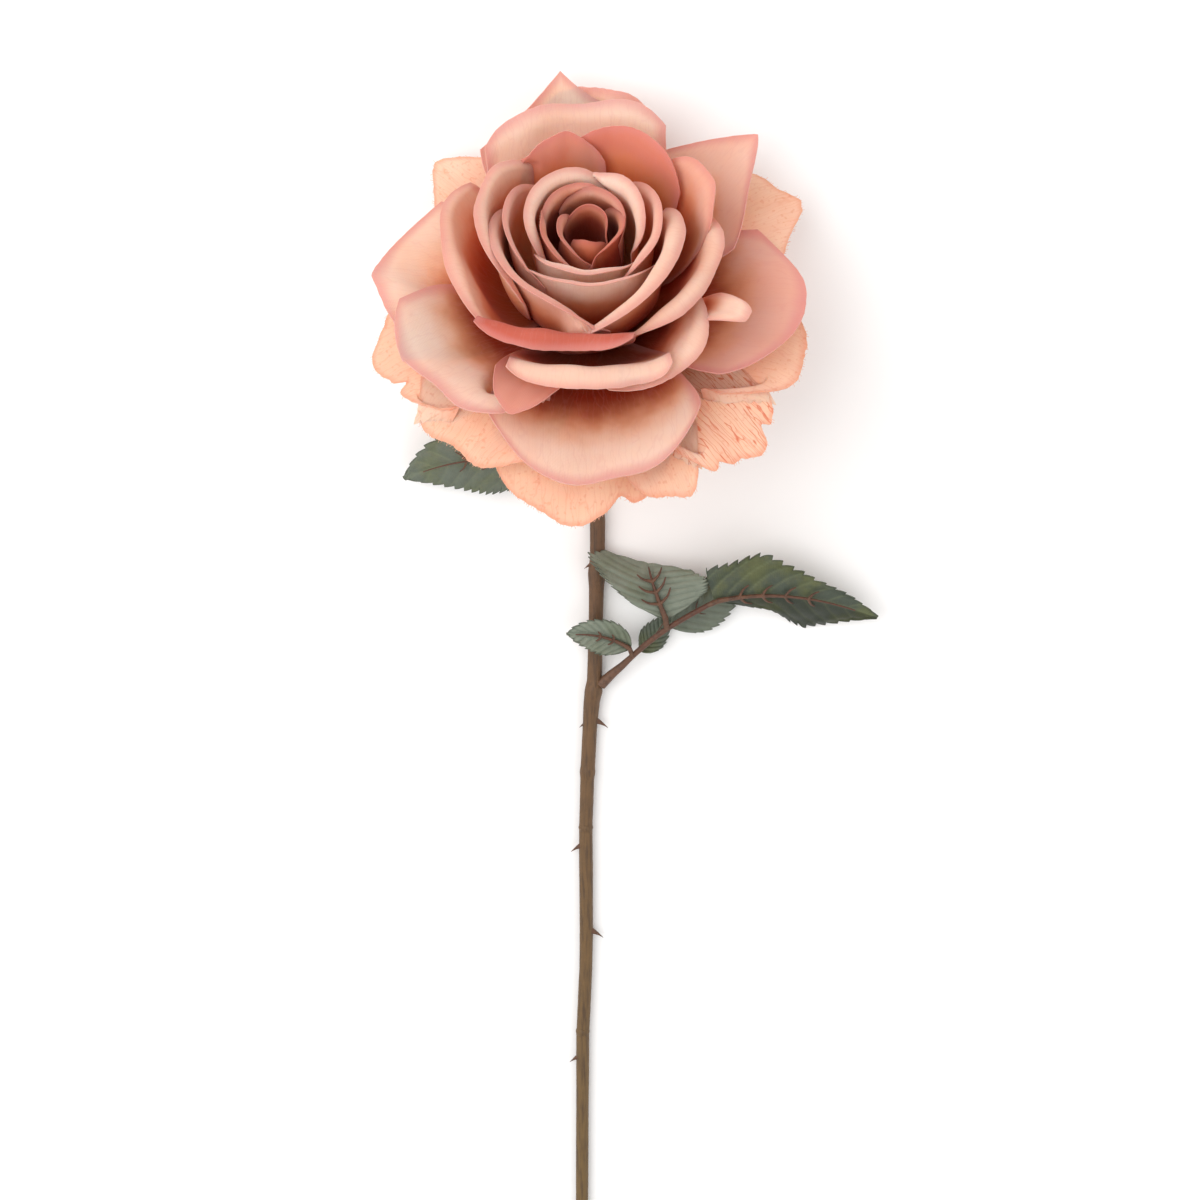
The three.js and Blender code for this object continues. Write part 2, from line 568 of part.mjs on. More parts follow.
const rose = new THREE.Group();
rose.add(bloom);
add(rose, "stem", stem, brownPlastic);
add(rose, "spray_stalk", mainBody(spray.subtract(stemRoom)), brownPlastic);
add(rose, "lone_stalk", mainBody(loneRib.subtract(stemRoom)), brownPlastic);
for (const [name, leaf] of Object.entries(LEAVES)) add(rose, name, leafBlade(leaf), leafCloth);

// The part's origin is the middle of its footprint, on the table.
rose.updateMatrixWorld(true);
const box = new THREE.Box3().setFromObject(rose, true);
const middle = box.getCenter(vec(0, 0, 0));
const group = new THREE.Group();
rose.position.set(-middle.x, -middle.y, -box.min.z);
group.add(rose);

export default group;
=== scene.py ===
"""Artificial cut rose: open cloth bloom, moulded calyx, sleeved stem, leaf spray and single leaf."""

import math
from functools import cache

import bpy
import numpy as np
from mathutils import Matrix, Vector
from mathutils.bvhtree import BVHTree


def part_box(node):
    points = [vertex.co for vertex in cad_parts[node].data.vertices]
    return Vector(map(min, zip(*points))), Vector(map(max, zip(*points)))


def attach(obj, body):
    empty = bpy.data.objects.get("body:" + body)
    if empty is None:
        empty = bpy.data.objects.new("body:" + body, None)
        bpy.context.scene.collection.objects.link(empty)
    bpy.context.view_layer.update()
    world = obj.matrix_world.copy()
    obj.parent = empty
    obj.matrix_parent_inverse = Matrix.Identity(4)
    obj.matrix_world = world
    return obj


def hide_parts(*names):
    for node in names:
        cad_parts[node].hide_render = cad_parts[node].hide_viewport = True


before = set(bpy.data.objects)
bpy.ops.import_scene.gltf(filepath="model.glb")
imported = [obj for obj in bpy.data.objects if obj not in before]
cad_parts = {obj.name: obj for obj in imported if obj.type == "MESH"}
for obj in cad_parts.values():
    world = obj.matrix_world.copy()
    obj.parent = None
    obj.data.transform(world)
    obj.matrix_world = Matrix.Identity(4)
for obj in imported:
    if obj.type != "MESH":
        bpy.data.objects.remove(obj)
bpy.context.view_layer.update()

bl_info = {
    "name": "Cut Rose",
    "version": (1, 0, 0),
    "blender": (4, 5, 0),
    "location": "View3D > Sidebar > Rose",
    "description": "Builds an artificial cut rose over its measured frame",
    "category": "Add Mesh",
}

MM = 0.001
BODY = "root"

# ---- measured layout, in millimetres before the move into the frame ----
BLOOM_HEIGHT = 32
BLOOM_RISE = 47  # degrees, from the table up to the bloom's axis
FOOT_RADIUS = 2  # where the first petal starts, and how far out and down each one starts after it
FOOT_STEP = 0.2
FOOT_HEIGHT = 3
FOOT_DROP = 0.15
FOOT_WIDE = 0.14  # a petal's foot as a share of its half width, and where it is widest
WIDEST_AT = 0.72
CALYX_LENGTH = 14
HIP_RADIUS = 7
SEPALS = 5
SEPAL_LENGTH = 26
STEM_TOP_RADIUS = 2.65
STEM_CUT_RADIUS = 2.1
STEM_CUT_Y = -345
RIB_CLEAR = 0.57  # from a blade's middle up to its rib's underside
FLOOR_EASE = 2.5  # below this height cloth bends up to stay on the table
CLOTH_MAP = 100  # millimetres across the cloth's UV map

# Petals from the heart outwards.  az: where it points; reach, height: its tip; lift, tip: slopes;
# in, out: how far each slope is kept; wide: half width; foot, cup: curl across; drop, round: how
# the rim falls to the sides; lean: one corner longer; roll: rim turned out from rollAt on; spiral:
# one side further out; blush: how rosy; veined: how strong its veins; notches: tears in the rim.
OUTER = {
    "lift": 5, "tip": 8, "in": 0.4, "out": 0.4, "foot": 85, "cup": 25, "drop": 0.3,
    "round": 2.4, "lean": 0, "roll": 0, "rollAt": 0.88, "spiral": 0,
}
GUARD = {**OUTER, "tip": -15, "foot": 80, "cup": 10, "round": 3}
MID = {
    **OUTER, "lift": 12, "tip": 60, "in": 0.5, "out": 0.35, "foot": 90, "cup": 60,
    "drop": 0.25, "round": 2.6, "roll": 60,
}
LOW = {**MID, "lift": 5, "tip": 50, "cup": 25}
CUP = {
    **MID, "lift": 25, "tip": 95, "in": 0.42, "foot": 150, "cup": 120, "drop": 0.2,
    "roll": 50, "rollAt": 0.9,
}
HEART = {**CUP, "lift": 50, "foot": 120, "cup": 140, "roll": 45}
RINGS = {"heart": HEART, "cup": CUP, "mid": MID, "low": LOW, "outer": OUTER, "guard": GUARD}


def petal(az, reach, height, wide, **other):
    return dict(az=az, reach=reach, height=height, wide=wide, **other)


PETALS = {
    "heart_core": petal(
        -95, 5.2, 41, 10.5, lift=60, tip=115, foot=200, cup=215, roll=-20, spiral=1, blush=0.6),
    "heart_wrap": petal(60, 6.2, 43, 11.5, lift=60, foot=180, cup=200, roll=10, spiral=1.5, blush=0.4),
    "heart_left_curl": petal(200, 7.8, 44, 12, cup=180, spiral=1.5),
    "heart_right_curl": petal(-12, 9, 44, 13, cup=170, spiral=1.5, blush=0.4),
    "heart_upper": petal(58, 10.5, 45.5, 15, cup=170, spiral=1.5),
    "heart_top": petal(120, 12, 46, 16.5, cup=160, spiral=1.5),
    "heart_left": petal(200, 13, 46, 16, cup=150, spiral=1.5),
    "cup_top_left": petal(146, 15.5, 50, 23, foot=160, cup=170, roll=70, rollAt=0.88),
    "cup_top_right": petal(40, 14, 50, 17, foot=140, cup=140, roll=70, rollAt=0.88),
    "cup_low_inner": petal(-95, 18, 49, 19, cup=130, roll=60),
    "cup_right": petal(-5, 20, 50, 22, roll=60, blush=0.3),
    "cup_bottom": petal(-90, 23.5, 49, 25, cup=115, rollAt=0.93),
    "cup_left": petal(185, 24, 49, 22, cup=110, rollAt=0.93, blush=0.35),
    "mid_inner_right": petal(-38, 28, 52, 30, tip=80, cup=100, roll=90, spiral=-6),
    "mid_low_left": petal(220, 30.5, 50, 31, tip=72, cup=110, rollAt=0.92, spiral=4, blush=0.3),
    "mid_up_left": petal(178, 32.5, 52, 28, tip=70, cup=90, rollAt=0.92),
    "mid_top_left": petal(107, 32.5, 46, 14, cup=50, roll=0, drop=0.2, round=3, blush=0.7),
    "mid_top": petal(64, 35, 47, 20, cup=50, roll=10, drop=0.2, round=3, blush=0.9),
    "mid_up_right": petal(22, 40, 47, 18, roll=20, blush=0.35),
    "mid_right": petal(-27, 39.5, 46, 27, cup=60, roll=70, rollAt=0.86),
    "mid_left": petal(187, 43.5, 44, 28, cup=20, roll=50, rollAt=0.9),
    "low_mid": petal(
        -103, 42, 47.5, 24, tip=60, cup=12, drop=0.07, roll=80, rollAt=0.85, spiral=-3, blush=1.0),
    "low_bottom": petal(-89, 53.5, 44, 25, tip=50, drop=0.1, roll=80, rollAt=0.85),
    "low_right": petal(-54, 53, 37, 22, tip=35, cup=50, roll=50, spiral=-8),
    "low_tip": petal(-31, 58, 38, 6, tip=10, foot=60, cup=40, roll=20),
    "low_left": petal(-113, 62, 26, 11, tip=0, cup=30, roll=0, blush=0.5),
    "outer_top": petal(96, 46, 43, 29, lift=10, tip=60, drop=0.15, round=4, lean=-0.02, roll=40),
    "outer_top_tip": petal(98, 63, 37, 29, lift=10, tip=40, drop=0.28, round=0.85),
    "outer_top_back": petal(84, 58, 34, 20, lift=10, tip=40, drop=0.15),
    "outer_up_right": petal(37, 66.5, 34, 24, lift=10, tip=35, drop=0.4, round=1.15, blush=0.3),
    "outer_bottom": petal(-88, 74, 11, 35, drop=0.36, round=2.6),
    "outer_right": petal(-14, 70, 18, 29, drop=0.3, round=2, blush=0.6),
    "outer_left_low": petal(-141, 66, 20, 27, drop=0.16, round=3),
    "outer_left_up": petal(-176, 68, 20, 29, drop=0.25, round=1.3, lean=0.06),
    "guard_low_middle": petal(-69, 76, -2, 15, drop=0.25),
    "guard_low_right": petal(
        -49, 77, 0, 18, drop=0.15, round=4, veined=1.0,
        notches=((-0.5, 0.06, 0.12), (0.55, 0.05, 0.08))),
    "guard_low_left": petal(-125, 71, 2, 24, drop=0.2),
    "guard_left": petal(-153, 71, 4, 22, drop=0.2, notches=((0.2, 0.05, 0.06),)),
    "guard_right": petal(-22, 73, 4, 22),
    "guard_up_right": petal(26, 77, 8, 22, round=1.3),
    "guard_up_left": petal(137, 67, 10, 21, drop=0.35, round=1.3),
    "guard_bottom": petal(-92, 76, -8, 28, drop=0.25, round=3.4, notches=((0.45, 0.05, 0.1),)),
    "guard_top_left": petal(114, 57, 7, 24),
    "guard_top_right": petal(66, 57, 7, 24),
}


def leaf(root, way, tip, wide, left, right, teeth, **other):
    return dict(root=root, way=way, tip=tip, wide=wide, left=left, right=right, teeth=teeth, **other)


# Leaf blades: midrib root, control point and tip, half width, folds left and right in degrees.
# left_edge, right_edge: how wide each half is along the midrib; slant: the left half reaches
# further; under: its underside looks up; and how much painted shade darkens the right half, turned away
# from the light.
LEAVES = {
    "leaflet_end": leaf(
        (42, -105, 12), (68, -98, 15.5), (97, -112, 8), 13.5, 14, -40, 17, shade=0.8,
        left_edge=((0, 0.95), (0.12, 1), (0.3, 1.2), (0.45, 0.85), (0.6, 0.55), (0.75, 0.4), (1, 0.05)),
        right_edge=(
            (0, 0.1), (0.2, 0.5), (0.35, 0.65), (0.52, 1.15), (0.63, 1.3), (0.78, 0.95), (1, 0.05))),
    "leaflet_upper": leaf(
        (25.8, -111, 11.5), (21, -98, 17), (19.9, -92.8, 8.5), 17, 14, -4, 14, under=1, slant=0.45,
        left_edge=((0, 0.1), (0.15, 0.45), (0.3, 0.65), (0.5, 0.9), (0.7, 1.1), (0.85, 1.15), (1, 0.8)),
        right_edge=(
            (0, 0.1), (0.15, 0.5), (0.3, 0.75), (0.5, 0.98), (0.7, 1.06), (0.85, 1.05), (1, 0.8))),
    "leaflet_left": leaf((14, -122.5, 8), (5, -115, 13), (-7.5, -117.5, 9), 6.5, 20, 12, 10, under=1),
    "leaflet_behind": leaf((27.5, -115.5, 5.6), (40, -108, 5), (52, -100, 4), 9, -6, -6, 11, under=0.6),
    "leaflet_low": leaf((17.5, -124.5, 4.4), (22, -121, 2.6), (27, -112, 2), 5, 6, -6, 8, under=0.3),
    "leaf_under_bloom": leaf((-10, -61, 8), (-36, -50, 19), (-61.5, -65, 5), 14, -20, 4, 15, under=0.4),
}

# The stem on the table: Y, X, and how much a knot or a joint of the sleeve swells it.
STEM_ROUTE = [
    (-64, 2.2, 0), (-80, 3, 0), (-92, 3, 0), (-98, 2.8, 0.45), (-104, 2.6, 0), (-122, 2.3, 0),
    (-135, 2, 0.1), (-139, 1.7, 0.6), (-143, 1.1, 0.3), (-152, 0.4, 0), (-166, -0.3, 0.1),
    (-168, -0.4, 0.3), (-171, -0.5, 0), (-187, -1, 0), (-188, -1, 0.2), (-189, -1, 0),
    (-225, -0.9, 0), (-240, -1.1, 0), (-262, -2.1, 0), (-263, -2.2, 0.2), (-264, -2.2, 0),
    (-300, -2.4, 0), (STEM_CUT_Y, -2.6, 0),
]
# Thorns: Y, side and length.
THORNS = [
    (-95, -1, 2), (-150, 1, 4.2), (-151, -1, 1.6), (-195, -1, 3.4), (-226, 1, 4.2), (-273, -1, 2.8),
]
# The stalks of the spray and of the single leaf: points and radii.
STALK = [
    (4.2, -136.6, 3.6, 1.9), (7.5, -133, 4.6, 1.6), (11.3, -129.3, 5.9, 1.25), (14.8, -125.5, 7.4, 1),
    (20, -120.3, 9.2, 1), (26.3, -115, 11, 0.95), (34, -109.8, 12.4, 0.9), (40, -106.2, 13.1, 0.85),
]
LONE_STALK = [(-0.6, -66.5, 4.8, 1.3), (-5, -63.5, 7, 1)]
# Ribs on the blades: which blade, the stalk point it starts from, thickness, places of its barbs.
SPRAY_RIBS = [
    ("leaflet_end", 7, 0.9, (0.16, 0.3, 0.44, 0.58)),
    ("leaflet_upper", 5, 1.0, (0.24, 0.42, 0.6)),
    ("leaflet_left", 3, 0.8, (0.3, 0.5)),
    ("leaflet_behind", 5, 0.5, (0.35,)),
    ("leaflet_low", 3, 0.45, ()),
]
LONE_RIBS = [("leaf_under_bloom", 1, 0.7, (0.25, 0.42, 0.58))]

# Where the frame's origin is, seen from the layout above.
stem_low, stem_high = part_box("stem")
calyx_low, calyx_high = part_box("calyx")
SHIFT = np.array([
    (calyx_low.x + calyx_high.x) / 2 / MM, stem_low.y / MM - STEM_CUT_Y, stem_low.z / MM,
])


# ---- numbers ----
def smooth(t):
    """Eases from 0 to 1."""
    t = np.clip(t, 0, 1)
    return t * t * (3 - 2 * t)


def unit(vectors):
    return vectors / np.maximum(np.linalg.norm(vectors, axis=-1, keepdims=True), 1e-9)


def bezier(line, t):
    """A cubic's points and slopes at t; line holds its four corners."""
    t = np.asarray(t, float)[..., None]
    a, b, c, d = np.asarray(line, float)
    s = 1 - t
    at = a * s**3 + 3 * b * s * s * t + 3 * c * s * t * t + d * t**3
    slope = 3 * ((b - a) * s * s + 2 * (c - b) * s * t + (d - c) * t * t)
    return at, slope


def waves(seed, count, low, high):
    """A smooth random curve: a function of one number, about -1 to 1."""
    rng = np.random.default_rng(seed)
    parts = [
        (rng.uniform(low, high), rng.uniform(0, 2 * math.pi), rng.uniform(0.5, 1)) for _ in range(count)
    ]
    total = sum(share for _, _, share in parts)
    return lambda x: sum(share * np.sin(rate * x + phase) for rate, phase, share in parts) / total


def from_bloom(points):
    """From the bloom's own frame, its axis up, to the layout, eased up off the table."""
    turn = math.radians(BLOOM_RISE - 90)
    x, y, z = np.moveaxis(points, -1, 0)
    c, s = math.cos(turn), math.sin(turn)
    low = y * s + z * c + BLOOM_HEIGHT + SHIFT[2]
    eased = FLOOR_EASE * np.exp(np.minimum(low / FLOOR_EASE, 1) - 1)
    return np.stack([x, y * c - z * s, np.where(low < FLOOR_EASE, eased, low) - SHIFT[2]], -1)


def in_frame(points):
    """From the layout's millimetres to the frame's metres."""
    return (np.asarray(points, float) + SHIFT) * MM


# ---- mesh code ----
SHARP_EDGE = 48  # degrees; past this an edge of cloth or plastic is shaded as a crease
SHARP_TUBE = 50


def add_object(name, data):
    """An object in the scene that holds a mesh, a camera or a lamp."""
    obj = bpy.data.objects.new(name, data)
    bpy.context.scene.collection.objects.link(obj)
    return obj


def grid_faces(rows, columns):
    """Faces over rows and columns of points."""
    a = (np.arange(rows - 1)[:, None] * columns + np.arange(columns - 1)).ravel()
    return np.stack([a, a + 1, a + columns + 1, a + columns], -1)


def ring_faces(rings, sides):
    """Faces that join rings of points, one after the other, and close both ends."""
    faces = []
    for ring in range(rings - 1):
        for side in range(sides):
            a, b = ring * sides + side, ring * sides + (side + 1) % sides
            faces.append((a, a + sides, b + sides, b))
    last = (rings - 1) * sides
    return faces + [tuple(range(sides)), tuple(last + side for side in reversed(range(sides)))]


def cloth_sheet(grid, thick, facts):
    """A closed thin sheet over a grid; facts are per-point values carried on both of its faces."""
    rows, columns = grid.shape[:2]
    along, across = np.gradient(grid, axis=0), np.gradient(grid, axis=1)
    normal = unit(np.cross(across, along))
    half = np.broadcast_to(np.asarray(thick, float) / 2, (rows, columns))[..., None]
    points = np.concatenate([(grid + normal * half).reshape(-1, 3), (grid - normal * half).reshape(-1, 3)])
    layer = rows * columns
    top = grid_faces(rows, columns)
    ids = np.arange(layer).reshape(rows, columns)
    rim = np.concatenate([ids[0, :-1], ids[:-1, -1], ids[-1, :0:-1], ids[:0:-1, 0]])
    following = np.roll(rim, -1)
    wall = np.stack([rim, rim + layer, following + layer, following], -1)
    faces = np.concatenate([top, (top + layer)[:, ::-1], wall])
    doubled = {key: np.concatenate([value.reshape(layer, -1)] * 2) for key, value in facts.items()}
    doubled["face"] = np.concatenate([np.ones((layer, 1)), np.zeros((layer, 1))])
    return points, faces, doubled


def build_mesh(name, parts, material, place=in_frame):
    """One object from (points, faces, facts) parts; place takes the points into the frame."""
    points, faces, facts = [], [], {}
    start = 0
    for part_points, part_faces, part_facts in parts:
        points.append(part_points)
        faces += [[int(i) + start for i in face] for face in part_faces]
        for key, values in part_facts.items():
            facts.setdefault(key, []).append(values)
        start += len(part_points)
    mesh = bpy.data.meshes.new(name)
    mesh.from_pydata(place(np.concatenate(points)).tolist(), [], faces)
    for key, values in facts.items():
        held = np.concatenate(values).astype(np.float32)
        if key == "Cloth":
            loops = np.empty(len(mesh.loops), int)
            mesh.loops.foreach_get("vertex_index", loops)
            mesh.uv_layers.new(name=key).data.foreach_set("uv", held[loops].ravel())
        else:
            mesh.attributes.new(key, "FLOAT", "POINT").data.foreach_set("value", held.ravel())
    mesh.shade_smooth()
    mesh.set_sharp_from_angle(angle=math.radians(SHARP_EDGE))
    mesh.materials.append(material)
    mesh.validate()
    mesh.update()
    return add_object(name, mesh)


def finish_piece(obj, nodes):
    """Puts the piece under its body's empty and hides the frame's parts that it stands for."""
    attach(obj, BODY)
    if nodes:
        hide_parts(*nodes)


# ---- petals ----
PETAL_COLUMNS = 53
PETAL_LOWER_ROWS = 34
PETAL_ROLL_ROWS = 16
PETAL_THICK = 0.36
PETAL_SEEDS = 7  # each petal has its own seeds, this many apart
ROLL_GAIN = 1.35  # a rim turns this many times as far as its petal's roll says
FOCUS = np.array([0, 0, 40.0])  # the heart, from which petals are pushed apart
PETAL_GAP = 0.5
PUSH_LIMIT = 7
PUSH_ROUNDS = 2
SPREAD_ROUNDS = 10  # how often a push is spread to the points around it


def middle_line(p, order):
    """The petal's middle line, out from the axis and up it, and its length."""
    foot = np.array([FOOT_RADIUS + FOOT_STEP * order, FOOT_HEIGHT - FOOT_DROP * order])
    tip = np.array([p["reach"], p["height"]], float)
    span = np.linalg.norm(tip - foot)

    def handle(angle, share):
        return share * span * np.array([math.cos(math.radians(angle)), math.sin(math.radians(angle))])

    line = np.array([foot, foot + handle(p["lift"], p["in"]), tip - handle(p["tip"], p["out"]), tip])
    samples = bezier(line, np.linspace(0, 1, 201))[0]
    return line, np.linalg.norm(np.diff(samples, axis=0), axis=1).sum()


def open_petal(p, line, length, u, q):
    """Points of the petal before its rim is rolled: u across from -1 to 1, q from foot to rim."""
    v = q * (1 - p["drop"] * np.abs(u) ** p["round"] + p["lean"] * u)
    at, slope = bezier(line, np.minimum(1, v))
    along = unit(slope)
    at = at + along * (np.maximum(0, v - 1) * length)[..., None]
    widening = np.sin(math.pi / 2 * np.minimum(1, v / WIDEST_AT)) ** 0.9
    half = p["wide"] * (FOOT_WIDE + (1 - FOOT_WIDE) * widening)
    bend = np.radians(p["foot"] + (p["cup"] - p["foot"]) * v) / 2
    side = half * np.sin(bend * u) / bend
    inwards = half * (1 - np.cos(bend * u)) / bend
    out = at[..., 0] - inwards * along[..., 1]
    reach = np.hypot(out, side) + p["spiral"] * u * smooth(q * 1.5)
    angle = np.arctan2(side, out) + math.radians(p["az"])
    height = at[..., 1] + inwards * along[..., 0]
    return np.stack([reach * np.cos(angle), reach * np.sin(angle), height], -1)


def torn_rim(p, seed, ragged, u, q):
    """How far the rim reaches at u, as a share: ragged, frayed and notched."""
    edge = 1 + ragged * waves(seed + 1, 5, 2, 9)(u) * smooth((q - 0.6) / 0.4)
    edge = edge + 0.12 * ragged * waves(seed + 2, 6, 18, 60)(u) * smooth((q - 0.85) / 0.15)
    for place, depth, width in p.get("notches", ()):
        edge = edge - depth * np.exp(-(((u - place) / width) ** 2)) * smooth((q - 0.75) / 0.25)
    return edge


def roll_rim(p, seed, grid, u, q):
    """Turns the rows past rollAt outwards, row by row, less at the petal's sides."""
    start = PETAL_LOWER_ROWS - 1
    steps = np.diff(grid[start:], axis=0)
    size = np.linalg.norm(steps, axis=-1, keepdims=True)
    along = unit(steps)
    inner = unit(np.cross(along, np.gradient(grid, axis=1)[start + 1 :]))
    share = (q[start + 1 :] - p["rollAt"]) / (1 - p["rollAt"])
    uneven = 1 + 0.25 * waves(seed + 4, 3, 1, 4)(u)
    taper = 1 - 0.75 * np.abs(u) ** 3
    turn = (math.radians(p["roll"] * ROLL_GAIN) * smooth(share) * uneven * taper)[..., None]
    turned = size * (along * np.cos(turn) - inner * np.sin(turn))
    grid[start + 1 :] = grid[start] + np.cumsum(turned, axis=0)


def petal_grid(p, order, ring):
    """The petal's middle surface, wavy and rolled, and what its cloth knows of each point."""
    line, length = middle_line(p, order)
    seed = PETAL_SEEDS * order
    u = np.linspace(-1, 1, PETAL_COLUMNS)[None, :]
    lower = np.linspace(0, p["rollAt"], PETAL_LOWER_ROWS)
    upper = np.linspace(p["rollAt"], 1, PETAL_ROLL_ROWS + 1)[1:]
    q = np.concatenate([lower, upper])[:, None]
    ragged = ring["ragged"]
    edge = torn_rim(p, seed, ragged, u, q)
    sides = 1 + 0.5 * ragged * waves(seed + 3, 5, 6, 25)(q) * smooth(q * 2) * np.abs(u) ** 3
    grid = open_petal(p, line, length, u * sides, q * edge)
    if p["roll"]:
        roll_rim(p, seed, grid, u, q)

    # The cloth ripples more towards the rim, and a low ridge runs up its middle.
    normal = unit(np.cross(np.gradient(grid, axis=1), np.gradient(grid, axis=0)))
    long_wave = waves(seed + 5, 4, 2, 5)
    rim_wave = waves(seed + 6, 4, 6, 13)
    lift = long_wave(u * 1.3 + q * 2) * smooth(q * 1.4)
    lift = lift + 0.5 * rim_wave(u + 0.4 * q) * smooth((q - 0.5) / 0.5)
    lift = lift + 0.35 * np.exp(-((u / 0.12) ** 2)) * np.sin(math.pi * np.clip(q, 0, 1))
    grid = grid + normal * (ring["ripple"] * p["wide"] / 25 * lift)[..., None]

    half = p["wide"] * (FOOT_WIDE + (1 - FOOT_WIDE) * smooth(q / WIDEST_AT))
    flat = np.zeros(grid.shape[:2])
    facts = {
        "along": q + flat, "across": u + flat, "blush": p.get("blush", 0) + flat,
        "rim": np.minimum((1 - q) * length + flat, (1 - np.abs(u)) * half),
        "veined": p.get("veined", ring["veins"]) + flat,
        "Cloth": np.stack([u * half / CLOTH_MAP + 0.5, q * length / CLOTH_MAP + flat], -1),
    }
    return grid, facts


def hit_distance(tree, point, way, limit):
    """How far off the next petal is, or None."""
    return tree.ray_cast(Vector(point), Vector(way), limit)[3]


def settle(grid, tree):
    """Pushes a petal out from the heart, so that it lies outside every petal before it."""
    rows, columns = grid.shape[:2]
    for _ in range(PUSH_ROUNDS):
        ways = unit(grid - FOCUS)
        need = np.zeros((rows, columns))
        for row in range(2, rows):
            for column in range(columns):
                point, way = grid[row, column], ways[row, column]
                behind = hit_distance(tree, point, -way, PETAL_GAP)
                beyond = hit_distance(tree, point + way * 0.01, way, PUSH_LIMIT)
                if beyond is not None:
                    past = point + way * (beyond + 0.05)
                    further = hit_distance(tree, past, way, PUSH_LIMIT - beyond)
                    need[row, column] = beyond + (further or 0) + PETAL_GAP
                elif behind is not None:
                    need[row, column] = PETAL_GAP - behind
        if not need.any():
            break
        soft = need.copy()
        for _ in range(SPREAD_ROUNDS):
            wide = np.pad(soft, 1, mode="edge")
            mean = (wide[:-2, 1:-1] + wide[2:, 1:-1] + wide[1:-1, :-2] + wide[1:-1, 2:]) / 4
            soft = np.maximum(need, mean)
        grid = grid + ways * soft[..., None]
    return grid


@cache
def bloom_grids():
    """Every petal's surface in the bloom's frame, each settled outside the ones before it."""
    grids, points, faces = {}, [], []
    start = 0
    for order, (name, own) in enumerate(PETALS.items()):
        ring_name = name.split("_")[0]
        p = {**RINGS[ring_name], **own}
        grid, facts = petal_grid(p, order, RING_CLOTH[ring_name])
        if points:
            placed = BVHTree.FromPolygons(np.concatenate(points).tolist(), np.concatenate(faces).tolist())
            grid = settle(grid, placed)
        grids[name] = (grid, facts)
        points.append(grid.reshape(-1, 3))
        faces.append(grid_faces(*grid.shape[:2]) + start)
        start += len(points[-1])
    return grids


# ---- materials ----
def colour(text):
    """An sRGB hex colour as linear RGBA."""
    values = [int(text[i : i + 2], 16) / 255 for i in (1, 3, 5)]
    return tuple(v / 12.92 if v <= 0.04045 else ((v + 0.055) / 1.055) ** 2.4 for v in values) + (1.0,)


def feed(tree, node, inputs):
    """Sets a node's sockets, each to a value or to the output that feeds it."""
    for key, value in inputs.items():
        if isinstance(value, bpy.types.NodeSocket):
            tree.links.new(value, node.inputs[key])
        else:
            node.inputs[key].default_value = value


def add_node(tree, kind, settings=None, inputs=None):
    """Adds a node with its settings, its sockets' values and what feeds them."""
    node = tree.nodes.new(kind)
    for key, value in (settings or {}).items():
        setattr(node, key, value)
    feed(tree, node, inputs or {})
    return node


def new_material(name):
    """A material, its tree and its shader."""
    material = bpy.data.materials.new(name)
    material.use_nodes = True
    return material, material.node_tree, material.node_tree.nodes["Principled BSDF"]


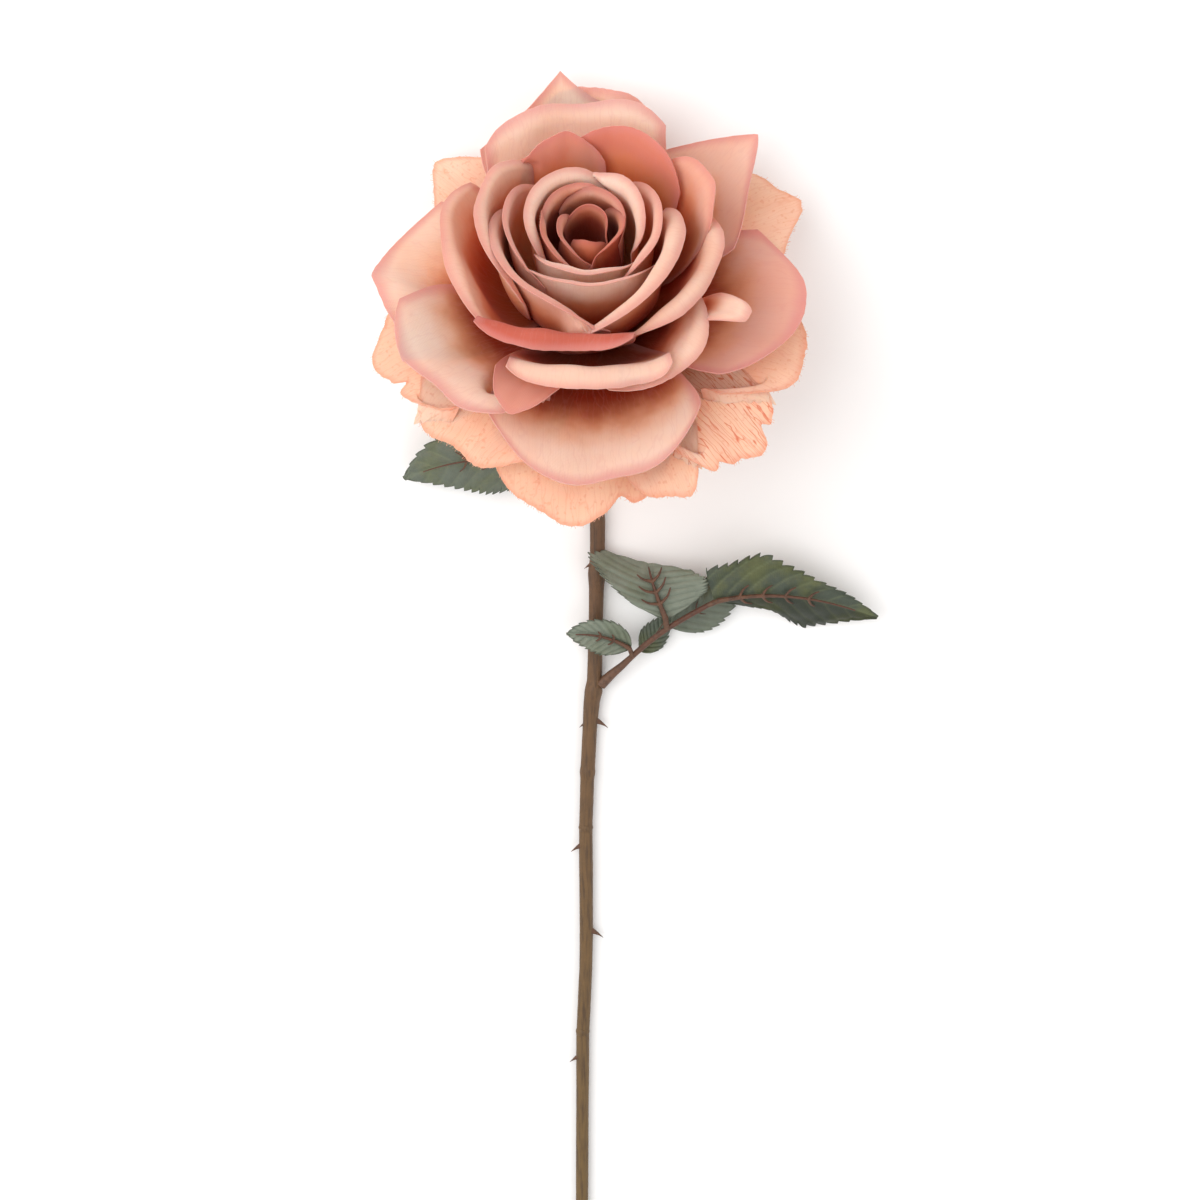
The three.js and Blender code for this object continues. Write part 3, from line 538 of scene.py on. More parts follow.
# Each ring's cloth.  ripple, ragged: its waves and torn edge; veins, specks: how strong they are;
# face, pale, blush: its dyes; foot: the orange dye at the foot, painted deep as painted shade in the
# recesses, ending near foot_to, and the lighter tint ahead of it, the same dye painted as lit; back: how
# much of the foot's colour the petal's back takes; rim, rim_width, brush: the dye brushed on the rim, how
# wide in millimetres and how strong.
RING_CLOTH = {
    # The heart's foot reaches past its rims: its petals are deep brown all over, the orange dye with
    # painted shade deep in the heart.
    "heart": {
        "slot": "petal_inner", "ripple": 0.5, "ragged": 0.02, "veins": 0.1, "specks": 0.0,
        "face": "#DE9F8A", "pale": "#EFC8B8", "blush": "#B8604C", "lit_foot_dye": "#C9744E",
        "foot": "#8C2A0C", "foot_to": 1.08, "back": 1.0, "rim": "#B9655B", "rim_width": 1.8, "brush": 0.75,
    },
    # The cup's foot is a brighter orange: painted glow of light through the cloth in its shaded hollow,
    # over the dye.
    "cup": {
        "slot": "petal_inner", "ripple": 0.6, "ragged": 0.02, "veins": 0.1, "specks": 0.0,
        "face": "#E6AC96", "pale": "#F3D2C2", "blush": "#CB7560", "lit_foot_dye": "#DB8A5E",
        "foot": "#E58C5C", "foot_to": 0.93, "back": 1.0, "rim": "#CF867C", "rim_width": 2.0, "brush": 0.7,
    },
    "mid": {
        "slot": "petal_middle", "ripple": 0.9, "ragged": 0.025, "veins": 0.12, "specks": 0.0,
        "face": "#E3A58B", "pale": "#EFCAB8", "blush": "#C9735E", "lit_foot_dye": "#D98858",
        "foot": "#B84E1E", "foot_to": 0.91, "back": 0.9, "rim": "#CD837B", "rim_width": 2.4, "brush": 0.65,
    },
    "low": {
        "slot": "petal_middle", "ripple": 0.9, "ragged": 0.025, "veins": 0.12, "specks": 0.0,
        "face": "#E5AA93", "pale": "#EFCDBC", "blush": "#BE5F4E", "lit_foot_dye": "#D98858",
        "foot": "#A23C12", "foot_to": 0.85, "back": 0.8, "rim": "#CF8A82", "rim_width": 2.2, "brush": 0.65,
    },
    "outer": {
        "slot": "petal_outer", "ripple": 1.2, "ragged": 0.02, "veins": 0.12, "specks": 0.0,
        "face": "#E9B8A2", "pale": "#F2D4C5", "blush": "#D08A7A", "lit_foot_dye": "#E09A6C",
        "foot": "#8E2A08", "foot_to": 0.83, "back": 0.4, "rim": "#CC8482", "rim_width": 3.2, "brush": 0.65,
    },
    "guard": {
        "slot": "petal_guard", "ripple": 1.6, "ragged": 0.05, "veins": 0.22, "specks": 0.3,
        "face": "#EDAE93", "pale": "#F6CFB9", "blush": "#DD8B70", "lit_foot_dye": "#EDA172",
        "foot": "#C8703C", "foot_to": 0.62, "back": 0.5, "rim": "#D97F62", "rim_width": 1.6, "brush": 0.42,
    },
}


# Settings that several nodes share.
COLOURS = {"data_type": "RGBA"}
DARKEN = {"data_type": "RGBA", "blend_type": "MULTIPLY"}
EASED = {"interpolation_type": "SMOOTHSTEP"}
TIMES = {"operation": "MULTIPLY"}
TIMES_PLUS = {"operation": "MULTIPLY_ADD"}


def crossed_threads(tree, scale):
    """The height of a plain weave along the cloth, its threads 31.4 / scale millimetres apart."""
    cloth = add_node(tree, "ShaderNodeUVMap", {"uv_map": "Cloth"}).outputs["UV"]
    weft, warp = (
        add_node(tree, "ShaderNodeTexWave", {"bands_direction": way}, {"Vector": cloth, "Scale": scale})
        for way in "XY")
    return add_node(tree, "ShaderNodeMath", TIMES, {
        0: weft.outputs["Fac"], 1: warp.outputs["Fac"]}).outputs[0]


def petal_cloth(name, ring):
    """Stiffened, heat-pressed polyester satin: a matte face with a faint weave, orange dye at the foot,
    painted deep in the recesses as painted shade and lighter ahead of that as lit, and dusty pink at the
    rim."""
    material, tree, shader = new_material(name)
    along, across, rim, rosy, side, marked = (
        add_node(tree, "ShaderNodeAttribute", {"attribute_name": key}).outputs["Fac"]
        for key in ("along", "across", "rim", "blush", "face", "veined"))
    space = add_node(tree, "ShaderNodeTexCoord").outputs["Object"]

    # Dye clouds about 14 mm across, and how far the foot's dye and its painted shade run out through them.
    cloud = add_node(tree, "ShaderNodeTexNoise", None, {
        "Vector": space, "Scale": 70.0, "Detail": 3.0}).outputs["Fac"]
    reach = add_node(tree, "ShaderNodeMath", TIMES_PLUS, {0: cloud, 1: 0.22, 2: along}).outputs[0]

    # Pressed veins fan out from the foot, about 1.2 mm apart at the rim.
    fan = add_node(tree, "ShaderNodeCombineXYZ", None, {
        0: add_node(tree, "ShaderNodeMath", TIMES, {0: across, 1: 7.5}).outputs[0],
        1: add_node(tree, "ShaderNodeMath", TIMES, {0: along, 1: 1.3}).outputs[0]})
    drift = add_node(tree, "ShaderNodeTexNoise", None, {"Vector": space, "Scale": 160.0, "Detail": 2.0})
    bent = add_node(tree, "ShaderNodeVectorMath", TIMES_PLUS, {
        0: drift.outputs["Color"], 1: (0.7, 0.35, 0.5), 2: fan.outputs[0]})
    net = add_node(tree, "ShaderNodeTexVoronoi", {"feature": "DISTANCE_TO_EDGE"}, {
        "Vector": bent.outputs[0], "Scale": 2.0}).outputs["Distance"]

    # Specks of dye, under a millimetre, and a brush that reaches unevenly in from the rim.
    grain = add_node(tree, "ShaderNodeTexNoise", None, {
        "Vector": space, "Scale": 700.0, "Detail": 1.0}).outputs["Fac"]
    width, foot_to = ring["rim_width"], ring["foot_to"]
    uneven = add_node(tree, "ShaderNodeMath", TIMES_PLUS, {0: cloud, 1: -1.2 * width, 2: rim}).outputs[0]

    # How much the cloth takes of each dye, the foot's painted tints among them: what that follows, from
    # where to where, and how much.
    taken = {}
    for dye, follows, start, stop, first, last in (
        # Painted light and shade: the foot's dye as lit, then deep as painted shade in the recesses.
        ("lit_foot_dye", reach, foot_to - 0.14, foot_to + 0.12, 0.9, 0.0),
        ("foot", reach, foot_to - 0.26, foot_to + 0.02, 1.0, 0.0),
        ("vein", net, 0.0, 0.07, 1.0, 0.0),
        ("speck", grain, 0.6, 0.72, 0.0, ring["specks"]),
        ("brush", uneven, -0.6 * width, 0.9 * width, ring["brush"], 0.0),
    ):
        taken[dye] = add_node(tree, "ShaderNodeMapRange", EASED, {
            "Value": follows, "From Min": start, "From Max": stop, "To Min": first, "To Max": last,
        }).outputs[0]
    back = add_node(tree, "ShaderNodeMapRange", None, {
        "Value": side, "To Min": 1.0, "To Max": ring["back"]})
    for dye, share in (("foot", back.outputs[0]), ("vein", marked)):
        taken[dye] = add_node(tree, "ShaderNodeMath", TIMES, {0: taken[dye], 1: share}).outputs[0]

    # The dyes and the foot's painted light and shade go on one over the other, the dustier pink of the rim
    # last.
    dyes_and_shade = colour(ring["face"])
    for amount, dye in (
        (cloud, "pale"), (rosy, "blush"), (taken["lit_foot_dye"], "lit_foot_dye"), (taken["foot"], "foot"),
        (taken["vein"], "rim"), (taken["speck"], "rim"), (taken["brush"], "rim"),
    ):
        dyes_and_shade = add_node(tree, "ShaderNodeMix", COLOURS, {
            0: amount, 6: dyes_and_shade, 7: colour(ring[dye])}).outputs[2]

    # A weave drawn at 0.5 mm, coarser than the real cloth so that it shows, and the pressed veins.
    relief = add_node(tree, "ShaderNodeMath", TIMES_PLUS, {
        0: net, 1: 1.5, 2: crossed_threads(tree, 62.8)}).outputs[0]
    bump = add_node(tree, "ShaderNodeBump", None, {"Strength": 0.12, "Distance": 0.0003, "Height": relief})
    rough = add_node(tree, "ShaderNodeMapRange", None, {"Value": cloud, "To Min": 0.66, "To Max": 0.82})
    feed(tree, shader, {
        "Base Color": dyes_and_shade, "Normal": bump.outputs[0], "Roughness": rough.outputs[0],
        "Sheen Weight": 0.08, "Sheen Roughness": 0.5, "Sheen Tint": colour("#FFE9E2"),
        "Subsurface Weight": 0.4, "Subsurface Radius": (1.0, 0.5, 0.3), "Subsurface Scale": 0.002,
        "Specular IOR Level": 0.15})
    return material


def leaf_cloth(name):
    """Printed polyester leaf cloth with a waxy coat: dull green over olive patches, pale veins, and
    painted shade where a blade turns away from the light.
    """
    material, tree, shader = new_material(name)
    vein, face, under, rim, shade = (
        add_node(tree, "ShaderNodeAttribute", {"attribute_name": key}).outputs["Fac"]
        for key in ("vein", "face", "under", "rim", "shade"))
    space = add_node(tree, "ShaderNodeTexCoord").outputs["Object"]

    # Olive patches about 12 mm across, then a finer fleck of about 1.5 mm.
    patch, fleck = (
        add_node(tree, "ShaderNodeTexNoise", None, {
            "Vector": space, "Scale": scale, "Detail": detail}).outputs["Fac"]
        for scale, detail in ((85.0, 4.0), (650.0, 2.0)))
    olive = add_node(tree, "ShaderNodeMapRange", EASED, {
        "Value": patch, "From Min": 0.46, "From Max": 0.7, "To Max": 0.7}).outputs[0]

    # The upper face, then the paler underside.
    printed = []
    for base, patched, strength, dark, light in (
        ("#474F42", "#5F6338", 0.5, 0.55, 1.35), ("#7C8374", "#6B735E", 0.4, 0.6, 1.3),
    ):
        green = add_node(tree, "ShaderNodeMix", COLOURS, {0: olive, 6: colour(base), 7: colour(patched)})
        flecks = add_node(tree, "ShaderNodeMapRange", None, {
            "Value": fleck, "To Min": dark, "To Max": light})
        printed.append(add_node(tree, "ShaderNodeMix", DARKEN, {
            0: strength, 6: green.outputs[2], 7: flecks.outputs[0]}).outputs[2])

    # Only the upper face has printed veins, and some blades lie with their underside up.
    faint = add_node(tree, "ShaderNodeMath", TIMES, {0: vein, 1: 0.22}).outputs[0]
    upper = add_node(tree, "ShaderNodeMix", COLOURS, {
        0: faint, 6: printed[0], 7: colour("#8C936C")}).outputs[2]
    upright = add_node(tree, "ShaderNodeMath", {"operation": "SUBTRACT"}, {0: 1.0, 1: under}).outputs[0]
    seen = add_node(tree, "ShaderNodeMath", TIMES, {0: face, 1: upright}).outputs[0]
    both = add_node(tree, "ShaderNodeMix", COLOURS, {0: seen, 6: printed[1], 7: upper}).outputs[2]
    # Painted shade: the right half of a blade that is turned away from the light is darkened.
    shaded = add_node(tree, "ShaderNodeMix", DARKEN, {0: shade, 6: both, 7: colour("#9A9A88")}).outputs[2]

    # The cut edge shows the darker dyed threads.
    edge = add_node(tree, "ShaderNodeMapRange", EASED, {
        "Value": rim, "From Min": 0.15, "From Max": 0.7, "To Min": 0.55, "To Max": 0.0}).outputs[0]
    final = add_node(tree, "ShaderNodeMix", COLOURS, {0: edge, 6: shaded, 7: colour("#3E4436")})

    # The weave under the coat, drawn at 0.6 mm so that it shows, with the coat's fine pitting.
    relief = add_node(tree, "ShaderNodeMath", TIMES_PLUS, {
        0: fleck, 1: 1.6, 2: crossed_threads(tree, 52.0)}).outputs[0]
    bump = add_node(tree, "ShaderNodeBump", None, {"Strength": 0.3, "Distance": 0.0003, "Height": relief})
    rough = add_node(tree, "ShaderNodeMapRange", None, {"Value": patch, "To Min": 0.5, "To Max": 0.72})
    feed(tree, shader, {
        "Base Color": final.outputs[2], "Normal": bump.outputs[0], "Roughness": rough.outputs[0],
        "Specular IOR Level": 0.4})
    return material


def moulded_plastic(name, top, bottom, streak, streak_scale, rough):
    """Soft polyethylene, moulded over wire: waxy and dull, with streaks from the mould and dye."""
    material, tree, shader = new_material(name)
    run = add_node(tree, "ShaderNodeAttribute", {"attribute_name": "run"}).outputs["Fac"]
    space = add_node(tree, "ShaderNodeTexCoord").outputs["Object"]
    base = add_node(tree, "ShaderNodeMix", COLOURS, {0: run, 6: colour(top), 7: colour(bottom)})

    # The sleeve's streaks run along it, about 1 mm wide and 11 mm long; elsewhere they are flecks.
    stretched = add_node(tree, "ShaderNodeMapping", None, {"Vector": space, "Scale": streak_scale})
    lines = add_node(tree, "ShaderNodeTexNoise", None, {
        "Vector": stretched.outputs[0], "Scale": 1.0, "Detail": 4.0, "Roughness": 0.6}).outputs["Fac"]
    amount = add_node(tree, "ShaderNodeMapRange", EASED, {
        "Value": lines, "From Min": 0.42, "From Max": 0.7, "To Max": 0.75}).outputs[0]
    streaked = add_node(tree, "ShaderNodeMix", COLOURS, {
        0: amount, 6: base.outputs[2], 7: colour(streak)}).outputs[2]

    # Blots of about 4.5 mm, and pits of about 0.6 mm in the relief.
    blot = add_node(tree, "ShaderNodeTexNoise", None, {
        "Vector": space, "Scale": 220.0, "Detail": 3.0}).outputs["Fac"]
    stain = add_node(tree, "ShaderNodeMapRange", None, {"Value": blot, "To Min": 0.55, "To Max": 1.4})
    final = add_node(tree, "ShaderNodeMix", DARKEN, {0: 0.6, 6: streaked, 7: stain.outputs[0]})
    pits = add_node(tree, "ShaderNodeTexNoise", None, {"Vector": space, "Scale": 1600.0, "Detail": 2.0})
    relief = add_node(tree, "ShaderNodeMath", TIMES_PLUS, {
        0: lines, 1: 2.0, 2: pits.outputs["Fac"]}).outputs[0]
    bump = add_node(tree, "ShaderNodeBump", None, {"Strength": 0.45, "Distance": 0.0004, "Height": relief})
    gloss = add_node(tree, "ShaderNodeMapRange", None, {
        "Value": blot, "To Min": rough - 0.08, "To Max": rough + 0.1})
    feed(tree, shader, {
        "Base Color": final.outputs[2], "Normal": bump.outputs[0], "Roughness": gloss.outputs[0],
        "IOR": 1.5})
    return material


# ---- geometry nodes ----
def new_tree(name, sizes):
    """A geometry tree with named inputs for its sizes; gives the tree, its input node and end."""
    tree = bpy.data.node_groups.new(name, "GeometryNodeTree")
    tree.interface.new_socket("Geometry", in_out="INPUT", socket_type="NodeSocketGeometry")
    for label, kind, value in sizes:
        socket = tree.interface.new_socket(label, in_out="INPUT", socket_type=kind)
        if value is not None:
            socket.default_value = value
    tree.interface.new_socket("Geometry", in_out="OUTPUT", socket_type="NodeSocketGeometry")
    return tree, add_node(tree, "NodeGroupInput"), add_node(tree, "NodeGroupOutput")


def end_tree(tree, start, end, shape):
    """Makes the shape's instances real, gives them the material and ends the tree."""
    real = add_node(tree, "GeometryNodeRealizeInstances", None, {"Geometry": shape})
    done = add_node(tree, "GeometryNodeSetMaterial", None, {
        "Geometry": real.outputs[0], "Material": start.outputs["Material"]})
    feed(tree, end, {"Geometry": done.outputs[0]})
    return tree


def tube_tree():
    """Sweeps a round section along each path, as wide as the path's own radius says."""
    tree, start, end = new_tree("Moulded Tube", [
        ("Sides", "NodeSocketInt", 14), ("Material", "NodeSocketMaterial", None)])
    path = add_node(tree, "GeometryNodeMeshToCurve", None, {"Mesh": start.outputs["Geometry"]})
    radius = add_node(tree, "GeometryNodeInputNamedAttribute", {"data_type": "FLOAT"}, {
        "Name": "radius_mm"})
    section = add_node(tree, "GeometryNodeCurvePrimitiveCircle", {"mode": "RADIUS"}, {
        "Resolution": start.outputs["Sides"], "Radius": MM})
    swept = add_node(tree, "GeometryNodeCurveToMesh", None, {
        "Curve": path.outputs[0], "Profile Curve": section.outputs["Curve"],
        "Scale": radius.outputs["Attribute"], "Fill Caps": True})
    return end_tree(tree, start, end, swept.outputs[0])


def fray_tree():
    """Sets short loose threads along each path, leaning the way the path's points look."""
    tree, start, end = new_tree("Frayed Threads", [
        ("Spacing", "NodeSocketFloat", 0.9 * MM), ("Thread Length", "NodeSocketFloat", 0.9 * MM),
        ("Thread Radius", "NodeSocketFloat", 0.06 * MM), ("Seed", "NodeSocketInt", 3),
        ("Material", "NodeSocketMaterial", None)])
    path = add_node(tree, "GeometryNodeMeshToCurve", None, {"Mesh": start.outputs["Geometry"]})
    spaced = add_node(tree, "GeometryNodeResampleCurve", {"mode": "LENGTH"}, {
        "Curve": path.outputs[0], "Length": start.outputs["Spacing"]})
    thread = add_node(tree, "GeometryNodeMeshCone", {"fill_type": "TRIANGLE_FAN"}, {
        "Vertices": 4, "Radius Top": start.outputs["Thread Radius"],
        "Radius Bottom": start.outputs["Thread Radius"], "Depth": start.outputs["Thread Length"]})
    outwards = add_node(tree, "GeometryNodeInputNamedAttribute", {"data_type": "FLOAT_VECTOR"}, {
        "Name": "outwards"})
    stray = add_node(tree, "FunctionNodeRandomValue", {"data_type": "FLOAT_VECTOR"}, {
        0: (-0.7, -0.7, -0.7), 1: (0.7, 0.7, 0.7), "Seed": start.outputs["Seed"]})
    lean = add_node(tree, "ShaderNodeVectorMath", {"operation": "ADD"}, {
        0: outwards.outputs["Attribute"], 1: stray.outputs[0]})
    aim = add_node(tree, "FunctionNodeAlignRotationToVector", {"axis": "Z"}, {"Vector": lean.outputs[0]})
    size = add_node(tree, "FunctionNodeRandomValue", {"data_type": "FLOAT"}, {
        2: 0.25, 3: 1.3, "Seed": start.outputs["Seed"]})
    placed = add_node(tree, "GeometryNodeInstanceOnPoints", None, {
        "Points": spaced.outputs[0], "Instance": thread.outputs["Mesh"],
        "Rotation": aim.outputs[0], "Scale": size.outputs[1]})
    return end_tree(tree, start, end, placed.outputs[0])


def grow(name, paths, tree, values, facts=()):
    """Runs a tree over paths, each (points, {attribute: values}), and keeps the plain mesh."""
    mesh = bpy.data.meshes.new(name)
    points = np.concatenate([path for path, _ in paths])
    edges, start = [], 0
    for path, _ in paths:
        edges += [(start + i, start + i + 1) for i in range(len(path) - 1)]
        start += len(path)
    mesh.from_pydata(in_frame(points).tolist(), edges, [])
    for key, kind, field in facts:
        held = np.concatenate([own[key] for _, own in paths]).astype(np.float32)
        mesh.attributes.new(key, kind, "POINT").data.foreach_set(field, held.ravel())
    obj = add_object(name + "_paths", mesh)
    modifier = obj.modifiers.new(tree.name, "NODES")
    modifier.node_group = tree
    ids = {item.name: item.identifier for item in tree.interface.items_tree if item.in_out == "INPUT"}
    for label, value in values.items():
        modifier[ids[label]] = value
    evaluated = obj.evaluated_get(bpy.context.evaluated_depsgraph_get())
    made = bpy.data.meshes.new_from_object(evaluated)
    bpy.data.objects.remove(obj)
    made.name = name
    made.shade_smooth()
    made.set_sharp_from_angle(angle=math.radians(SHARP_TUBE))
    return add_object(name, made)


# ---- leaves ----
LEAF_ROWS = 150
LEAF_COLUMNS = 41
LEAF_THICK = 0.4
LEAF_NARROW = 0.06  # least share of the half width, at a plain blade's ends
TOOTH_DEPTH = 0.13
SIDE_VEINS = 8
RIB_POINTS = 22
RIB_REACH = (0.03, 0.86)  # the part of the midrib that its rib runs along
BARB_POINTS = 7


def midrib_frame(blade, share):
    """The midrib's places, its ways along, to the right and up, at shares of its length."""
    share = np.atleast_1d(np.asarray(share, float))[:, None]
    root, way, tip = (np.array(blade[key], float) for key in ("root", "way", "tip"))
    at = root * (1 - share) ** 2 + 2 * way * share * (1 - share) + tip * share**2
    along = unit(2 * ((way - root) * (1 - share) + (tip - way) * share))
    right = unit(np.cross(along, (0, 0, 1)))
    return at, along, right, np.cross(right, along)


def soft_line(corners, share):
    """A smooth curve through (share, value) corners."""
    value = np.interp(share, [c[0] for c in corners], [c[1] for c in corners])
    for _ in range(6):
        value[1:-1] = (value[:-2] + 2 * value[1:-1] + value[2:]) / 4
    return value


def leaf_surface(blade, seed):
    """A serrated blade, creased at its midrib and between its side veins."""
    share = np.linspace(0, 1, LEAF_ROWS)
    u = np.linspace(-1, 1, LEAF_COLUMNS)[None, :]
    at, along, right, up = (part[:, None, :] for part in midrib_frame(blade, share))
    s = share[:, None]
    outline = np.maximum(LEAF_NARROW, np.sin(math.pi * s**0.8) ** 0.8)
    if "left_edge" in blade:
        edges = [soft_line(blade[key], share)[:, None] for key in ("left_edge", "right_edge")]
        outline = np.where(u < 0, edges[0], edges[1])
    beat = s * blade["teeth"] + 0.25 * waves(seed, 3, 3, 9)(s)
    saw = np.mod(beat, 1)
    tooth = 1 - TOOTH_DEPTH * (1 - saw) ** 1.4 * smooth((1 - s) * 8)
    half = blade["wide"] * outline * (1 - (1 - tooth) * np.abs(u) ** 4)
    fold = np.radians(np.where(u < 0, blade["left"], blade["right"])) * (0.7 + 0.3 * np.abs(u))
    out = np.abs(u) * half
    at = at - along * (blade.get("slant", 0) * half * u)[..., None]
    aside, rise = np.sign(u) * out * np.cos(fold), out * np.sin(fold)
    grid = at + right * aside[..., None] + up * rise[..., None]
    grid = grid + along * (0.9 * np.abs(u) ** 6 * saw * smooth((1 - s) * 6))[..., None]
    # Side veins run forward from the midrib; the cloth is pressed down along them.
    branch = s * SIDE_VEINS - 2.3 * np.abs(u) ** 1.2 * outline + 0.1 * np.sign(u)
    vein = np.exp(-((np.abs(np.mod(branch, 1) - 0.5) / 0.09) ** 2)) * smooth((1 - np.abs(u)) * 6)
    puff = np.cos(2 * math.pi * branch) * smooth(np.abs(u) * 3) * smooth((1 - np.abs(u)) * 3)
    wave = waves(seed + 1, 4, 3, 8)(s * 3 + 1.4 * u) * np.abs(u)
    mid = np.exp(-((u * half / 0.9) ** 2))
    lift = 0.2 * puff - 0.15 * vein + blade["wide"] * 0.05 * wave - 0.5 * mid
    grid = grid + up * lift[..., None]
    flat = np.zeros(grid.shape[:2])
    facts = {
        "vein": np.maximum(vein, np.exp(-((u * half / 0.7) ** 2))),
        "rim": np.minimum((1 - np.abs(u)) * half, (1 - s) * 60),
        "under": blade.get("under", 0) + flat,
        # Painted shade on the right half of a blade that is turned away from the light.
        "shade": blade.get("shade", 0) * smooth(u * 5 + 0.2) + flat,
        "Cloth": np.stack([u * half / CLOTH_MAP + 0.5, s * 0.5 + flat], -1),
    }
    return grid, facts


def smooth_path(rows, count):
    """A curve through rows of numbers, as many columns as they have."""
    rows = np.asarray(rows, float)
    t = np.linspace(0, len(rows) - 1, count)
    k = np.clip(t.astype(int), 0, len(rows) - 2)
    f = (t - k)[:, None]
    a, b = rows[np.maximum(k - 1, 0)], rows[k]
    c, d = rows[k + 1], rows[np.minimum(k + 2, len(rows) - 1)]
    bent = (2 * a - 5 * b + 4 * c - d) * f**2 + (3 * b - a - 3 * c + d) * f**3
    return 0.5 * (2 * b + (c - a) * f + bent)


def rib_paths(blade, begin, thick, barbs):
    """The moulded rib on a blade and its barbs: paths with their radii."""
    lift = RIB_CLEAR + thick * 0.75
    at, _, _, up = midrib_frame(blade, np.linspace(*RIB_REACH, RIB_POINTS))
    line = at + up * lift
    lead = smooth_path([begin, (np.array(begin) + line[0]) / 2 + (0, 0, 0.2), line[0]], 7)[:-1]
    thinning = 1 - 0.75 * np.linspace(0, 1, RIB_POINTS) ** 0.8
    radii = np.concatenate([np.full(len(lead), thick), thick * thinning])
    radii = radii * (1 + 0.12 * waves(int(thick * 100), 4, 1, 3)(np.arange(len(radii))))
    paths = [(np.concatenate([lead, line]), radii)]
    for place in barbs:
        at, along, right, up = (part[0] for part in midrib_frame(blade, place))
        foot = at + up * lift
        for side in (-1, 1):
            fold = math.radians(blade["left"] if side < 0 else blade["right"])
            reach = 0.3 * blade["wide"] * (1.15 - 0.5 * place)
            rise = reach * math.sin(fold) + 0.25
            aside = right * side * reach
            end = foot + along * reach * 0.85 + aside * math.cos(fold) + up * rise
            bow = (foot + end) / 2 - along * 0.075 * reach + aside * 0.12 + up * 0.15
            barb = smooth_path([foot, bow, end], BARB_POINTS)
            paths.append((barb, np.linspace(0.62, 0.2, BARB_POINTS) * thick))
    return paths


def with_run(paths):
    """Adds to each (points, radii) path how far along it each point is."""
    return [(path, {"radius_mm": radii, "run": np.linspace(0, 1, len(path))}) for path, radii in paths]


TUBE_FACTS = (("radius_mm", "FLOAT", "value"), ("run", "FLOAT", "value"))


# ---- stem and calyx ----
STEM_SIDES = 28
STEM_STEP = 0.9  # between rings along the stem
TABLE_CLEAR = 0.02
NECK_GAP = 0.1  # from the calyx to the stem's top
NECK_STEPS = 8
NECK_ASIDE = 1.6  # how far the neck leans to one side
THORN_POINTS = 9
THORN_SIDES = 12
CALYX_POINTS = 60
CALYX_SIDES = 40
SEPAL_ROWS = 48
SEPAL_COLUMNS = 15
SEPAL_WIDE = 3.4  # half a sepal's width at its foot, and at its tip
SEPAL_TIP = 0.35


def stem_radius(y, top_y):
    """The sleeve's radius at y, between its knots."""
    share = (y - top_y) / (STEM_CUT_Y - top_y)
    return STEM_TOP_RADIUS + (STEM_CUT_RADIUS - STEM_TOP_RADIUS) * share


def stem_line():
    """The stem's middle line and radii, from the calyx down the neck and along the table."""
    rise = math.radians(BLOOM_RISE)
    axis = np.array([0, math.cos(rise), math.sin(rise)])
    top = np.array([0, 0, BLOOM_HEIGHT]) - axis * (CALYX_LENGTH + NECK_GAP)
    bend = (top[2] - STEM_TOP_RADIUS) / (1 - math.cos(rise))
    rows = []
    for step in range(NECK_STEPS):
        slope = rise * (1 - step / NECK_STEPS)
        along = bend * (math.sin(rise) - math.sin(slope))
        down = bend * (1 - math.cos(slope))
        aside = NECK_ASIDE * step / NECK_STEPS
        rows.append((aside, top[1] - along, STEM_TOP_RADIUS + down, STEM_TOP_RADIUS))
    for y, x, swell in STEM_ROUTE:
        radius = stem_radius(y, top[1]) + swell
        rows.append((x, y, radius, radius))
    rows = np.array(rows)
    fine = []
    for a, b in zip(rows[:-1], rows[1:]):
        count = max(3, int(np.linalg.norm(b[:3] - a[:3]) / STEM_STEP))
        share = np.linspace(0, 1, count, endpoint=False)[:, None]
        fine.append(a + (b - a) * np.concatenate([share, share, share, smooth(share)], axis=1))
    return np.concatenate(fine + [rows[-1:]])


def tube_mesh(line, sides, bumps=None):
    """A closed tube along rows of x, y, z and radius; bumps(along, angle) adds to the radius."""
    centre, radius = line[:, :3], line[:, 3]
    ways = unit(np.gradient(centre, axis=0))
    right = unit(np.cross(ways, (0, 0, 1)))
    up = np.cross(right, ways)
    travelled = np.concatenate([[0], np.cumsum(np.linalg.norm(np.diff(centre, axis=0), axis=1))])
    angle = np.linspace(0, 2 * math.pi, sides, endpoint=False)
    reach = np.repeat(radius[:, None], sides, axis=1)
    if bumps:
        reach = reach + bumps(travelled[:, None], angle[None, :])
    spokes = right[:, None] * np.cos(angle)[None, :, None] + up[:, None] * np.sin(angle)[None, :, None]
    points = (centre[:, None] + spokes * reach[..., None]).reshape(-1, 3)
    points[:, 2] = np.maximum(points[:, 2], TABLE_CLEAR)
    run = np.repeat(travelled / travelled[-1], sides)[:, None]
    return points, ring_faces(len(line), sides), {"run": run}


def stem_bumps(travelled, angle):
    """The sleeve's lumps: slow swellings, a fine grain and ridges along it."""
    slow = waves(11, 5, 0.08, 0.35)(travelled + 3 * np.cos(angle))
    fine = waves(12, 6, 0.6, 1.8)(travelled + 1.5 * np.sin(2 * angle))
    ridge = waves(13, 3, 1, 3)(2 * np.cos(angle) + 0.01 * travelled)
    return 0.1 * slow + 0.035 * fine + 0.05 * ridge


